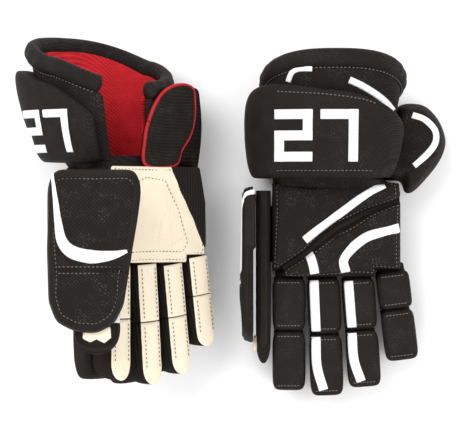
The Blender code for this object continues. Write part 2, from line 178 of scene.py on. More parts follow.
# ---------------------------------------------------------------- meshes


def signed_power(value, exponent):
    """A power that keeps its value's sign: below 1, it squares off a sine or a cosine."""
    return np.sign(value) * np.abs(value) ** exponent


def mix(pair, t):
    """The place t of the way from the first value to the second."""
    return pair[0] + (pair[1] - pair[0]) * t


def grid_quads(rows, columns, wrap):
    """Faces of a grid of points, rows by columns; wrap joins its last column to its first."""
    i, j = np.meshgrid(np.arange(rows - 1), np.arange(columns if wrap else columns - 1), indexing="ij")
    near = i * columns + j
    side = i * columns + (j + 1) % columns
    return np.stack([near, side, side + columns, near + columns], -1).reshape(-1, 4)


SAME_POINT = 2e-6
NO_LENGTH = 1e-7


class Piece:
    """Gathers grids of points and makes one object of them, in place."""

    def __init__(self, name, axes, *materials):
        self.name = name
        self.axes = axes
        self.materials = materials
        self.points = []
        self.faces = []
        self.finishes = []
        self.count = 0

    def grid(self, points, wrap=True, finish=0):
        """Adds a grid of points of shape (rows, columns, 3)."""
        rows, columns = points.shape[:2]
        quads = grid_quads(rows, columns, wrap) + self.count
        self.points.append(points.reshape(-1, 3))
        self.faces.append(quads)
        self.finishes.append(np.broadcast_to(finish, len(quads)))
        self.count += rows * columns
        return self

    def copies(self, template, quads, places):
        """Adds a small closed shape many times: places has shape (copies, 4, 3), an origin and three axes."""
        points = places[:, None, 0] + np.einsum("vk,nkd->nvd", template, places[:, 1:])
        offset = np.arange(len(places))[:, None, None] * len(template) + self.count
        self.points.append(points.reshape(-1, 3))
        self.faces.append((quads[None] + offset).reshape(-1, 4))
        self.finishes.append(np.zeros(len(places) * len(quads), int))
        self.count += len(places) * len(template)
        return self

    def make(self, body, slot, replaces=(), padded=None, blend=None):
        """Makes the object. It rides on body; given blend, as (other, start, end), it is only baked in place
        and rides on no body."""
        mesh = bpy.data.meshes.new(self.name)
        points = self.axes.world(np.concatenate(self.points))
        mesh.from_pydata(points.tolist(), [], np.concatenate(self.faces).tolist())
        mesh.polygons.foreach_set("material_index", np.concatenate(self.finishes).astype(np.int32))
        bm = bmesh.new()
        bm.from_mesh(mesh)
        bmesh.ops.remove_doubles(bm, verts=bm.verts, dist=SAME_POINT)
        bmesh.ops.dissolve_degenerate(bm, edges=bm.edges, dist=NO_LENGTH)
        bmesh.ops.recalc_face_normals(bm, faces=bm.faces)
        bm.to_mesh(mesh)
        bm.free()
        mesh.polygons.foreach_set("use_smooth", [True] * len(mesh.polygons))
        for name in self.materials:
            mesh.materials.append(finish_of(name))
        piece = bpy.data.objects.new(self.name, mesh)
        bpy.context.scene.collection.objects.link(piece)
        if blend:
            other, *places = blend
            start, end = (tuple(self.axes.world(place)) for place in places)
            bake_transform(piece)
        else:
            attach(piece, body)
        if replaces:
            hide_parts(*replaces)
        return piece


def smooth_path(points, count, closed=False):
    """A Catmull-Rom curve through the given points, sampled at count places."""
    points = np.asarray(points, float)
    if closed:
        points = np.concatenate([points[-1:], points, points[:2]])
    else:
        first = 2 * points[0] - points[1]
        last = 2 * points[-1] - points[-2]
        points = np.concatenate([first[None], points, last[None]])
    t = np.linspace(0, len(points) - 3, count, endpoint=not closed)
    i = np.clip(t.astype(int), 0, len(points) - 4)
    f = (t - i)[:, None]
    a, b, c, d = points[i], points[i + 1], points[i + 2], points[i + 3]
    return 0.5 * (2 * b + (c - a) * f + (2 * a - 5 * b + 4 * c - d) * f**2 + (3 * b - a - 3 * c + d) * f**3)


def sideways(path):
    """Unit vectors square to a path in a plane."""
    along = np.gradient(path, axis=0)
    along /= np.linalg.norm(along, axis=1, keepdims=True) + 1e-12
    return np.stack([-along[:, 1], along[:, 0]], -1)


def waves(points, size, seed):
    """Soft unevenness from -1 to 1: a sum of five sine waves in directions drawn from a seed."""
    draw = np.random.default_rng(seed)
    total = np.zeros(points.shape[:-1])
    for _ in range(5):
        way = draw.normal(size=3)
        way *= draw.uniform(0.6, 1.6) / np.linalg.norm(way)
        total += np.sin(points @ way * 2 * math.pi / size + draw.uniform(0, 6.28))
    return total / 5


EDGE_ROUND = 2.3  # power of the ellipse that rounds a pad's edge
GROOVE_INWARD = 0.0032
GROOVE_NARROW = 0.0009


class Pad:
    """A padded panel over a flat outline. Its height over the plane is a rounded edge that rises to
    full thickness within edge of the outline, plus a low crown towards the middle: the crown times one
    less the square of the share of the way out. A sewn groove, a bell curve seam deep, follows the
    outline. The outline is kept as its distance from the centre along each angle."""

    def __init__(self, outline, base, thick, edge, crown=0.0, seam=0.0, corner=5, centre=None, curved=False):
        outline = smooth_path(outline, 300, closed=True) if curved else np.asarray(outline, float)
        self.centre = outline.mean(0) if centre is None else np.array(centre)
        self.base = base
        self.thick = thick
        self.edge = edge
        self.crown = crown
        self.seam = seam
        self.angles = np.linspace(-math.pi, math.pi, 1080, endpoint=False)
        self.reach = self.ray_lengths(outline - self.centre)
        kernel = np.hanning(corner * 2 + 3)[1:-1]
        kernel /= kernel.sum()
        padded = np.concatenate([self.reach[-corner:], self.reach, self.reach[:corner]])
        self.reach = np.convolve(padded, kernel, "valid")

    def ray_lengths(self, outline):
        """How far the outline lies from its middle along each angle: the nearest ray and side crossing."""
        a = outline[None]
        b = np.roll(outline, -1, 0)[None]
        way = np.stack([np.cos(self.angles), np.sin(self.angles)], -1)[:, None]
        side = b - a
        cross = way[..., 0] * side[..., 1] - way[..., 1] * side[..., 0]
        cross = np.where(np.abs(cross) < 1e-12, 1e-12, cross)
        far = (a[..., 0] * side[..., 1] - a[..., 1] * side[..., 0]) / cross
        share = (a[..., 0] * way[..., 1] - a[..., 1] * way[..., 0]) / cross
        hit = (share > -1e-6) & (share < 1 + 1e-6) & (far > 0)
        return np.where(hit, far, 9.0).min(1)

    def rim(self, angle):
        """Distance of the outline from the centre at an angle."""
        return np.interp(angle, self.angles, self.reach, period=2 * math.pi)

    def height(self, x, y):
        """Height of the outer face over the plane at places in it."""
        dx = x - self.centre[0]
        dy = y - self.centre[1]
        reach = self.rim(np.arctan2(dy, dx))
        share = np.clip(np.hypot(dx, dy) / reach, 0, 1)
        inward = (1 - share) * reach
        rise = (1 - (1 - np.clip(inward / self.edge, 0, 1)) ** EDGE_ROUND) ** (1 / EDGE_ROUND)
        groove = self.seam * np.exp(-(((inward - GROOVE_INWARD) / GROOVE_NARROW) ** 2))
        return self.base + self.thick * rise + self.crown * (1 - share**2) - groove

    def outline_at(self, inward, count=200):
        """Points of the outline, drawn in by a distance, in the plane."""
        angle = np.linspace(-math.pi, math.pi, count, endpoint=False)
        reach = self.rim(angle) - inward
        return self.centre + np.stack([np.cos(angle), np.sin(angle)], -1) * reach[:, None]

    def grid(self, around=144, rings=26, rough=0.0, seed=1):
        """Rings from the middle outwards over the face, down the side and back under to the middle."""
        angle = np.linspace(-math.pi, math.pi, around, endpoint=False)
        reach = self.rim(angle)
        inner = np.linspace(0, 1, rings)[:, None]
        distance = reach * (1 - (1 - inner) ** 1.8)
        x = self.centre[0] + distance * np.cos(angle)
        y = self.centre[1] + distance * np.sin(angle)
        z = self.height(x, y)
        z[-1] = self.base + 0.02 * self.thick
        top = np.stack([x, y, z], -1)
        top[..., 2] += rough * waves(top, 0.022, seed) * (1 - inner**4)
        share = np.array([[0.985], [0.0]])
        x = self.centre[0] + share * reach * np.cos(angle)
        y = self.centre[1] + share * reach * np.sin(angle)
        under = np.stack([x, y, np.full(x.shape, self.base)], -1)
        return np.concatenate([top, under])


def on_face(height_at):
    """Turns a height over the plane into a place: across, along and how far above the face."""
    return lambda u, v, lift: np.stack([u, v, height_at(u, v) + lift], -1)


def capped(loops):
    """Closes both ends of a tube of loops with a point in the middle of each."""
    count = loops.shape[1]
    first = loops[:1].mean(1, keepdims=True).repeat(count, 1)
    last = loops[-1:].mean(1, keepdims=True).repeat(count, 1)
    return np.concatenate([first, loops, last])


def ribbon(path, widths, place, lift=0.0007, sink=0.0010, across=9):
    """A strip laid on a face along a path. Across, it is a flat arch whose edges turn down into the
    face; place(u, v, lift) is the face."""
    path = np.asarray(path, float)
    side = sideways(path)
    share = np.linspace(-1, 1, across)
    reach = share * (np.broadcast_to(widths, (len(path),))[:, None] / 2)
    u = path[:, None, 0] + side[:, None, 0] * reach
    v = path[:, None, 1] + side[:, None, 1] * reach
    top = place(u, v, lift * (1 - share**8))
    low = place(u, v, np.full(across, -sink))
    return capped(np.concatenate([top, low[:, ::-1]], 1))


def tube(path, radius_a, radius_b, up, around=12):
    """A tube of oval section along a path in space; up is the direction of radius_b. Closed at both ends."""
    path = np.asarray(path, float)
    along = np.gradient(path, axis=0)
    along /= np.linalg.norm(along, axis=1, keepdims=True)
    up = np.broadcast_to(np.asarray(up, float), path.shape)
    side = np.cross(along, up)
    side /= np.linalg.norm(side, axis=1, keepdims=True)
    up = np.cross(side, along)
    turn = np.linspace(0, 2 * math.pi, around, endpoint=False)
    a = np.broadcast_to(radius_a, (len(path),))[:, None, None] * np.cos(turn)[None, :, None]
    b = np.broadcast_to(radius_b, (len(path),))[:, None, None] * np.sin(turn)[None, :, None]
    return capped(path[:, None] + a * side[:, None] + b * up[:, None])


# One stitch: four rings of four points, the end ones drawn in
STITCH_RING = ((1, 0), (0, 1), (-1, 0), (0, -1))
STITCH_SHAPE = np.array([(x, y, z) for x in (-1, -0.6, 0.6, 1) for y, z in STITCH_RING], float)
STITCH_SHAPE[[0, 1, 2, 3, 12, 13, 14, 15], 1:] *= 0.35
STITCH_QUADS = np.concatenate([grid_quads(4, 4, True), [[3, 2, 1, 0]], [[12, 13, 14, 15]]])
STITCH_LENGTH = 0.0016
STITCH_RADIUS = 0.00032


def stitches(piece, path, normal, spacing):
    """A row of short threads along a path in space, each one a capsule of fourteen faces. normal, one
    for all or one for each point of the path, is the way out of the cloth."""
    path = np.asarray(path, float)
    steps = np.linalg.norm(np.diff(path, axis=0), axis=1)
    run = np.concatenate([[0], np.cumsum(steps)])
    at = np.arange(spacing / 2, run[-1], spacing)
    middle = np.stack([np.interp(at, run, path[:, k]) for k in range(3)], -1)
    ahead = np.stack([np.interp(at + 1e-4, run, path[:, k]) for k in range(3)], -1)
    behind = np.stack([np.interp(at - 1e-4, run, path[:, k]) for k in range(3)], -1)
    along = ahead - behind
    along /= np.linalg.norm(along, axis=1, keepdims=True) + 1e-12
    up = np.broadcast_to(np.asarray(normal, float), path.shape)
    up = np.stack([np.interp(at, run, up[:, k]) for k in range(3)], -1)
    side = np.cross(along, up)
    side /= np.linalg.norm(side, axis=1, keepdims=True) + 1e-12
    up = np.cross(side, along)
    places = np.stack([middle, along * STITCH_LENGTH / 2, side * STITCH_RADIUS, up * STITCH_RADIUS], 1)
    piece.copies(STITCH_SHAPE, STITCH_QUADS, places)


# ---------------------------------------------------------------- materials


class Tree:
    """A node tree and short ways to add to it. A value is a socket, a number or a colour."""

    def __init__(self, tree):
        self.tree = tree

    def add(self, kind, inputs=(), **settings):
        node = self.tree.nodes.new(kind)
        for key, value in settings.items():
            setattr(node, key, value)
        for key, value in dict(inputs).items():
            self.put(node.inputs[key], value)
        return node

    def put(self, socket, value):
        if isinstance(value, bpy.types.NodeSocket):
            self.tree.links.new(value, socket)
        else:
            socket.default_value = value

    def maths(self, operation, a, b=0.0, c=0.0):
        return self.add("ShaderNodeMath", {0: a, 1: b, 2: c}, operation=operation).outputs[0]

    def noise(self, vector, scale, detail=3.0, rough=0.5):
        inputs = {"Vector": vector, "Scale": scale, "Detail": detail, "Roughness": rough}
        return self.add("ShaderNodeTexNoise", inputs).outputs["Fac"]

    def cells(self, vector, scale, feature="F1"):
        inputs = {"Vector": vector, "Scale": scale}
        return self.add("ShaderNodeTexVoronoi", inputs, feature=feature).outputs["Distance"]

    def scaled(self, vector, scale):
        return self.add("ShaderNodeMapping", {"Vector": vector, "Scale": scale}).outputs[0]

    def bands(self, vector, scale, direction, distortion):
        inputs = {"Vector": vector, "Scale": scale, "Distortion": distortion, "Detail Scale": 2.0}
        node = self.add("ShaderNodeTexWave", inputs, bands_direction=direction)
        return node.outputs["Fac"]

    def between(self, value, low, high, to_low=0.0, to_high=1.0):
        inputs = {"Value": value, "From Min": low, "From Max": high, "To Min": to_low, "To Max": to_high}
        return self.add("ShaderNodeMapRange", inputs, clamp=True).outputs["Result"]

    def blend(self, share, a, b):
        node = self.add("ShaderNodeMix", data_type="RGBA")
        for key, value in zip((0, 6, 7), (share, a, b)):
            self.put(node.inputs[key], value)
        return node.outputs[2]


def new_group(name, inputs, outputs):
    """A shader node group with float inputs (name: default) after its Vector, and named outputs."""
    tree = bpy.data.node_groups.new(name, "ShaderNodeTree")
    tree.interface.new_socket("Vector", in_out="INPUT", socket_type="NodeSocketVector")
    for key, value in inputs.items():
        socket = tree.interface.new_socket(key, in_out="INPUT", socket_type="NodeSocketFloat")
        socket.default_value = value
    for key in outputs:
        tree.interface.new_socket(key, in_out="OUTPUT", socket_type="NodeSocketFloat")
    build = Tree(tree)
    return build, build.add("NodeGroupInput").outputs, build.add("NodeGroupOutput").inputs


def weave_group():
    """Diagonal twill of coarse threads: bands one way crossed by bands the other way, and pale flecks
    where a thread comes up. Its Tone paints shade between the threads and light along them, over a random
    mottle."""
    t, given, out = new_group("Weave", {"Threads": 260.0}, ("Tone", "Flecks", "Height"))
    vector = given["Vector"]
    threads = given["Threads"]
    along = t.bands(vector, threads, "DIAGONAL", 1.2)
    across = t.bands(t.scaled(vector, (1, -1, 1)), threads, "DIAGONAL", 1.0)
    crossed = t.maths("MULTIPLY", along, t.between(across, 0.15, 0.8, 0.35, 1.0))
    patches = t.noise(vector, 90.0, 2.0)
    broad = t.noise(vector, 14.0, 2.0)
    flecks = t.cells(vector, t.maths("MULTIPLY", threads, 3.4))
    flecks = t.between(flecks, 0.30, 0.16)
    flecks = t.maths("MULTIPLY", flecks, t.between(patches, 0.46, 0.66))
    mottle = t.maths("MULTIPLY_ADD", patches, 0.35, t.maths("MULTIPLY", broad, 0.25))
    # Tone: painted shade between the crossed threads and painted light along them, plus a random mottle.
    tone = t.maths("MULTIPLY_ADD", crossed, 0.62, mottle)
    t.put(out["Tone"], tone)
    t.put(out["Flecks"], flecks)
    t.put(out["Height"], t.maths("MULTIPLY_ADD", flecks, 0.25, crossed))


def grain_group():
    """Leather grain: fine closed cells, pores and soft creases."""
    t, given, out = new_group("Grain", {"Cells": 900.0}, ("Tone", "Creases", "Height"))
    vector = given["Vector"]
    cells = t.cells(vector, given["Cells"], "DISTANCE_TO_EDGE")
    cells = t.between(cells, 0.0, 0.22)
    broad = t.noise(vector, 22.0, 4.0)
    creases = t.cells(t.scaled(vector, (1, 0.45, 1)), 95.0, "DISTANCE_TO_EDGE")
    creases = t.between(creases, 0.05, 0.0)
    creases = t.maths("MULTIPLY", creases, t.between(broad, 0.45, 0.7))
    t.put(out["Tone"], t.maths("MULTIPLY_ADD", cells, 0.3, t.maths("MULTIPLY", broad, 0.7)))
    # Creases shapes the bump and also paints shade into the leather's colour in its creases.
    t.put(out["Creases"], creases)
    t.put(out["Height"], t.maths("MULTIPLY_ADD", creases, -1.5, cells))


def knit_group():
    """Knit ribs: rounded bands broken along their length into loops. Its Tone paints the crests light and the
    hollows in shade, over a random mottle.
    """
    t, given, out = new_group("Knit", {"Ribs": 190.0}, ("Tone", "Height"))
    ribs = t.bands(given["Vector"], given["Ribs"], "Z", 0.8)
    loops = t.bands(given["Vector"], t.maths("MULTIPLY", given["Ribs"], 1.6), "Y", 1.5)
    height = t.maths("MULTIPLY_ADD", loops, 0.4, ribs)
    mottle = t.maths("MULTIPLY", t.noise(given["Vector"], 40.0), 0.4)
    # Tone: painted light on the rib crests and painted shade in the hollows, plus a random mottle.
    t.put(out["Tone"], t.maths("MULTIPLY_ADD", height, 0.5, mottle))
    t.put(out["Height"], height)


def wear_group():
    """Soft soiling and lint, for every cloth and leather: a slow mottle with fine specks in it."""
    t, given, out = new_group("Wear", {}, ("Soil", "Lint"))
    slow = t.noise(given["Vector"], 18.0, 5.0, 0.6)
    specks = t.between(t.cells(given["Vector"], 420.0), 0.12, 0.04)
    t.put(out["Soil"], t.between(slow, 0.42, 0.72))
    t.put(out["Lint"], t.maths("MULTIPLY", specks, t.between(t.noise(given["Vector"], 55.0), 0.55, 0.7)))


def shader(name, roughness, **sockets):
    """A new material with its Principled shader, and the tree and object coordinates to build on."""
    material = bpy.data.materials.new(f"{name}_finish")
    material.use_nodes = True
    tree = Tree(material.node_tree)
    surface = material.node_tree.nodes["Principled BSDF"]
    surface.inputs["Roughness"].default_value = roughness
    for key, value in sockets.items():
        surface.inputs[key.replace("_", " ")].default_value = value
    place = tree.add("ShaderNodeTexCoord").outputs["Object"]
    return tree, surface, place


def grouped(tree, name, place, **values):
    """Places one of the node groups in a material, with its own values."""
    node = tree.add("ShaderNodeGroup", node_tree=bpy.data.node_groups[name])
    tree.put(node.inputs["Vector"], place)
    for key, value in values.items():
        node.inputs[key].default_value = value
    return node.outputs


def bumped(tree, surface, height, distance, strength=0.6):
    inputs = {"Height": height, "Distance": distance, "Strength": strength}
    tree.put(surface.inputs["Normal"], tree.add("ShaderNodeBump", inputs).outputs["Normal"])


def rgba(colour, scale=1.0):
    return (*(min(1.0, c * scale) for c in colour[:3]), 1.0)


def woven_material(name, colour, pale, roughness, threads, relief, flecks=1.0):
    """Woven nylon: painted shade between threads and painted light along them, with pale flecks and some
    lint.
    """
    tree, surface, place = shader(name, roughness, Specular_IOR_Level=0.12)
    weave = grouped(tree, "Weave", place, Threads=threads)
    wear = grouped(tree, "Wear", place)
    # Painted shade between the threads and painted light along them, from the weave's tone.
    cloth = tree.blend(weave["Tone"], rgba(colour, 0.30), rgba(colour, 1.15))
    cloth = tree.blend(tree.maths("MULTIPLY", weave["Flecks"], flecks), cloth, rgba(pale))
    cloth = tree.blend(tree.maths("MULTIPLY", wear["Lint"], 0.25), cloth, rgba(pale))
    tree.put(surface.inputs["Base Color"], cloth)
    tree.put(surface.inputs["Roughness"], tree.between(weave["Tone"], 0.2, 1.0, roughness, roughness - 0.14))
    bumped(tree, surface, weave["Height"], relief)


def leather_material(name, colour, roughness, relief):
    """Smooth synthetic leather with fine grain, soft creases darkened with painted shade, and light soiling.
    """
    tree, surface, place = shader(name, roughness)
    grain = grouped(tree, "Grain", place)
    wear = grouped(tree, "Wear", place)
    hide = tree.blend(grain["Tone"], rgba(colour, 0.93), rgba(colour, 1.05))
    # Painted shade: the colour darkens in the creases.
    hide = tree.blend(tree.maths("MULTIPLY", grain["Creases"], 0.35), hide, rgba(colour, 0.62))
    hide = tree.blend(tree.maths("MULTIPLY", wear["Soil"], 0.16), hide, rgba(colour, 0.75))
    tree.put(surface.inputs["Base Color"], hide)
    dull = tree.between(grain["Tone"], 0.2, 0.9, roughness + 0.08, roughness - 0.06)
    tree.put(surface.inputs["Roughness"], dull)
    bumped(tree, surface, grain["Height"], relief, 0.45)


def knit_material(name, colour):
    """Stretch knit: ribs painted lighter on their crests and darker in their hollows, as painted light and
    shade.
    """
    tree, surface, place = shader(name, 0.92, Specular_IOR_Level=0.10)
    knit = grouped(tree, "Knit", place)
    # Painted light on the rib crests and painted shade in the hollows.
    tree.put(surface.inputs["Base Color"], tree.blend(knit["Tone"], rgba(colour, 0.35), rgba(colour, 1.5)))
    bumped(tree, surface, knit["Height"], 0.0005)


def thread_material(name, colour):
    """Sewing thread, with its twist as fine bands: painted shade in the twist's grooves and painted light on
    its ridges.
    """
    tree, surface, place = shader(name, 0.6, Sheen_Weight=0.2)
    twist = tree.bands(place, 1400.0, "DIAGONAL", 0.4)
    # Painted shade in the twist's grooves and painted light on its ridges.
    tree.put(surface.inputs["Base Color"], tree.blend(twist, rgba(colour, 0.6), rgba(colour, 1.15)))
    bumped(tree, surface, twist, 0.0001)


def plastic_material(name, colour):
    """Half-clear stiffener plate with a faint mottle."""
    tree, surface, place = shader(name, 0.4)
    mottle = tree.noise(place, 60.0, 4.0)
    tree.put(surface.inputs["Base Color"], tree.blend(mottle, rgba(colour, 0.9), rgba(colour, 1.05)))
    bumped(tree, surface, mottle, 0.0001, 0.3)


def finish_of(name):
    return bpy.data.materials[f"{name}_finish"]


# ---------------------------------------------------------------- shapes of the glove


def pillow(low, high, square=0.36, slope=0.0, crown=0.0, around=40, rows=30):
    """A stuffed block: a sphere's grid squared off towards its box. slope brings its top down towards
    the -y end by that share of its height, and crown swells its faces."""
    low = np.asarray(low)
    high = np.asarray(high)
    centre = (low + high) / 2
    half = (high - low) / 2
    lat = np.linspace(-math.pi / 2, math.pi / 2, rows)[:, None]
    lon = np.linspace(0, 2 * math.pi, around, endpoint=False)
    ring = np.abs(np.cos(lat)) ** square
    x = ring * signed_power(np.cos(lon), square * 1.3)
    z = ring * signed_power(np.sin(lon), square * 1.3)
    y = np.broadcast_to(signed_power(np.sin(lat), square), x.shape)
    swell = crown * (1 - y**2) * (1 - x**2)
    z = z + np.where(z > 0, swell, 0)
    z = z - np.where(z > -0.3, (z + 0.3) / 1.3, 0) * slope * 2 * np.clip(-y, 0, 1) ** 1.5
    return centre + np.stack([x, y, z], -1) * half


def oblong(x_range, z_range, corner, count=44):
    """Points of an oblong with round corners, evenly by angle, in x and z."""
    turn = np.linspace(0, 2 * math.pi, count, endpoint=False)
    half = np.array([x_range[1] - x_range[0], z_range[1] - z_range[0]]) / 2
    x = np.clip(np.cos(turn) * 1.5, -1, 1) * (half[0] - corner) + corner * np.cos(turn)
    z = np.clip(np.sin(turn) * 1.5, -1, 1) * (half[1] - corner) + corner * np.sin(turn)
    return np.stack([x, z], -1), np.array([sum(x_range), sum(z_range)]) / 2


def sleeve_grid(
    x_range, z_range, y_range, wall, corner, tip=False, rows=22, rough=0.0, seed=3, kept=1.0, start=0.7
):
    """A sleeve along y: its outer skin, its mouth and its inner skin. A tip rounds over from the share
    start of its length on: its section shrinks as the root of one less a power of the share left, and
    stays on its low side by the share kept."""
    loop, centre = oblong(x_range, z_range, corner)
    half_z = (z_range[1] - z_range[0]) / 2
    share = np.linspace(0, 1, rows)
    if tip:
        turn = np.linspace(0, math.pi / 2, rows // 2 + 1)[1:]
        share = np.concatenate([np.linspace(0, start, rows // 2), start + (1 - start) * np.sin(turn)])
    skins = []
    for inset in (0.0, wall):
        scale = np.ones_like(share)
        if tip:
            scale = np.sqrt(np.clip(1 - np.clip((share - start) / (1 - start), 0, 1) ** 2.4, 0, 1))
        x = centre[0] + scale[:, None] * loop[:, 0] * (1 - inset / (x_range[1] - x_range[0]) * 2)
        z = loop[:, 1] * (1 - inset / (z_range[1] - z_range[0]) * 2)
        drop = half_z * kept * 0.75 * (1 - scale[:, None])
        z = centre[1] - drop + z * mix((scale[:, None], 1.0), 0.25 * kept)
        end = y_range[1] - np.sign(y_range[1] - y_range[0]) * inset * tip
        y = y_range[0] + (end - y_range[0]) * share[:, None]
        skin = np.stack([x, np.broadcast_to(y, x.shape), z], -1)
        skin += rough * waves(skin, 0.013, seed)[..., None] * np.array([0.3, 0, 1.0])
        if tip:
            skin[-1] = skin[-1].mean(0)
        skins.append(skin)
    return np.concatenate([skins[0], skins[1][::-1], skins[0][:1]])


class Cuff:
    """The cuff of one glove: a squared ellipse that widens and leans as it runs up the wrist. A place on
    it is an angle in degrees, y, and how far outside the shell's outer face."""

    def __init__(self, side):
        self.lean = CUFF_LEAN[side]

    def section(self, y, out):
        """Middle, half width, height of the middle and half height of the section at y."""
        t = (y - CUFF_START) / CUFF_REACH
        height = mix(CUFF_HALF_HEIGHT, t)
        return self.lean * t + mix(CUFF_SHIFT, t), mix(CUFF_HALF_WIDTH, t) + out, height, height + out

    def point(self, angle, y, out):
        middle, wide, rise, tall = self.section(y, out)
        x = middle + wide * signed_power(np.cos(np.radians(angle)), CUFF_SQUARE)
        z = CUFF_BASE + rise + tall * signed_power(np.sin(np.radians(angle)), CUFF_SQUARE)
        return np.stack(np.broadcast_arrays(x, y, z), -1)

    def back(self, out_at):
        """The back of the cuff as a face over x and y, out_at(y, angle) outside the shell."""
        def place(x, y, lift):
            x, y = np.broadcast_arrays(x, y)
            out = lift
            for _ in range(3):
                middle, wide, _, _ = self.section(y, out)
                across = np.clip((x - middle) / wide, -0.999, 0.999)
                angle = np.degrees(np.arccos(signed_power(across, 1 / CUFF_SQUARE)))
                out = out_at(y, angle) + lift
            return self.point(angle, y, out)
        return place

    def thumb_side(self, out_at):
        """The thumb side of the cuff as a face over -z and y, so that it reads from outside."""
        def place(u, y, lift):
            u, y = np.broadcast_arrays(u, y)
            out = lift
            for _ in range(3):
                _, _, rise, tall = self.section(y, out)
                up = np.clip((-u - CUFF_BASE - rise) / tall, -0.999, 0.999)
                angle = 180 - np.degrees(np.arcsin(signed_power(up, 1 / CUFF_SQUARE)))
                out = out_at(y, angle) + lift
            return self.point(angle, y, out)
        return place

    def slab(self, angles, start, end_at, out_range, square, around=48, taper=4.0, crown=0.0):
        """A padded sheet: at each angle a squared loop through its thickness, smaller at both ends."""
        angle = angles[:, None]
        turn = np.linspace(0, 2 * math.pi, around, endpoint=False)
        from_end = np.minimum(angle - angles[0], angles[-1] - angle) / taper
        size = np.sqrt(np.clip(1 - (1 - np.clip(from_end, 0.02, 1)) ** 2, 0, 1))
        end = end_at(angle)
        y = (start + end) / 2 + (end - start) / 2 * signed_power(np.cos(turn), square) * (0.9 + 0.1 * size)
        middle = sum(out_range) / 2
        thick = (out_range[1] - out_range[0]) / 2
        out = middle + thick * signed_power(np.sin(turn), square) * size
        share = np.abs(np.cos(turn)) ** square
        out = out + crown * (1 - share**2) * size * (np.sin(turn) > 0)
        return capped(self.point(np.broadcast_to(angle, y.shape), y, out))


def mouth_y(angle):
    """How far the shell reaches: furthest on the back, least on the palm side."""
    return mix((MOUTH_PALM, MOUTH_BACK), (1 + np.sin(np.radians(angle))) / 2)


def roll_end_y(angle):
    """Far edge of the big roll: a parabola on each side of its longest place."""
    first, longest, last = ROLL_LENGTHS
    short = np.where(angle < ROLL_PEAK, first, last)
    far = np.where(angle < ROLL_PEAK, ROLL_PEAK - ROLL_SPAN[0], ROLL_SPAN[1] - ROLL_PEAK)
    return CUFF_START + longest - (longest - short) * ((angle - ROLL_PEAK) / far) ** 2


def roll_out(y, angle):
    """How far the big roll's outer face stands outside the shell."""
    middle = (CUFF_START + roll_end_y(angle)) / 2
    half = (roll_end_y(angle) - CUFF_START) / 2
    share = np.clip(np.abs(y - middle) / half, 0, 1)
    return 0.0003 + ROLL_THICK * (0.5 + 0.5 * (1 - share**5) ** 0.2) + ROLL_CROWN * (1 - share**2)


# ---------------------------------------------------------------- settings


class GloveSizes(bpy.types.PropertyGroup):
    """Sizes of the finish that a user would change; the frame's own sizes come from its file."""

    pad_crown: FloatProperty(
        name="Pad crown",
        description="Extra height in the middle of a backhand pad",
        default=0.0025,
        unit="LENGTH",
    )
    roll_swell: FloatProperty(
        name="Finger swell",
        description="How far the faces of a finger's roll swell, as a share",
        default=0.10,
        subtype="FACTOR",
    )
    stitch_spacing: FloatProperty(
        name="Stitch spacing",
        description="From one stitch to the next",
        default=0.0027,
        unit="LENGTH",
    )
    stripe_width: FloatProperty(
        name="Stripe width",
        description="White stripes on the back of the hand",
        default=0.0056,
        unit="LENGTH",
    )
    number: IntProperty(
        name="Number",
        description="Plain number on the cuff rolls",
        default=27,
        min=10,
        max=99,
    )


def colour_property(name, description, default):
    return FloatVectorProperty(
        name=name, description=description, default=default, subtype="COLOR", size=3, min=0.0, max=1.0
    )


class GloveColours(bpy.types.PropertyGroup):
    """Colours of the finish."""

    black: colour_property("Black nylon", "Woven panels and rolls", (0.0155, 0.0124, 0.0104))
    pale: colour_property("Flecks", "Pale threads in the weave", (0.082, 0.073, 0.066))
    white: colour_property("White", "Stripes and number", (0.86, 0.87, 0.88))
    cream: colour_property("Cream leather", "Palm and finger leather", (0.85, 0.74, 0.57))
    red: colour_property("Red lining", "Lining and piping", (0.60, 0.018, 0.024))


class GLOVES_OT_materials(bpy.types.Operator):
    """Make the node groups and every material of the gloves"""

    bl_idname = "gloves.materials"
    bl_label = "Materials"

    def execute(self, context):
        colours = context.scene.glove_colours
        weave_group()
        grain_group()
        knit_group()
        wear_group()
        woven_material("pad_nylon", colours.black, colours.pale, 0.82, 250.0, 0.0005)
        woven_material("roll_nylon", colours.black, colours.pale, 0.72, 300.0, 0.0004, 0.7)
        woven_material("binding", colours.black, colours.pale, 0.62, 420.0, 0.0002, 0.25)
        woven_material("red_lining", colours.red, (0.85, 0.12, 0.12), 0.85, 330.0, 0.0003, 0.4)
        woven_material("red_piping", colours.red, (0.80, 0.10, 0.10), 0.6, 600.0, 0.0001, 0.2)
        leather_material("cream_leather", colours.cream, 0.66, 0.00022)
        leather_material("white_synthetic", colours.white, 0.48, 0.00012)
        knit_material("black_knit", colours.black)
        thread_material("dark_thread", (0.05, 0.04, 0.04))
        thread_material("pale_thread", (0.13, 0.12, 0.12))
        plastic_material("clear_plastic", (0.75, 0.77, 0.78))
        for side in SIDES:
            for node in ("backhand_insert", "thumb_insert"):
                for slot in frame["nodes"][f"{side}_{node}"].material_slots:
                    slot.link = "OBJECT"
                    slot.material = finish_of("clear_plastic")
        return {"FINISHED"}


# ---------------------------------------------------------------- hand

# Lines on the back of the hand, as (x, y)
CREASE_LINE = [
    (-0.029, 0.006), (-0.016, 0.014), (-0.010, 0.019), (0.006, 0.032), (0.031, 0.0455), (0.0478, 0.0511),
]
LOWER_STRIPE = [
    (0.0488, 0.0330), (0.036, 0.0300), (0.0260, 0.0265), (0.0165, 0.0190), (0.0115, 0.0115), (0.0130, 0.0035),
]
UPPER_STRIPE = [(0.0385, 0.0622), (0.0255, 0.0548), (0.0080, 0.0420), (-0.0070, 0.0308), (-0.0145, 0.0248)]
UPPER_STRIPE_END = [(-0.0120, 0.0165), (-0.0100, 0.0120), (-0.0085, 0.0065), (-0.0078, 0.0025)]
STRIPE_LIFT = 0.0009

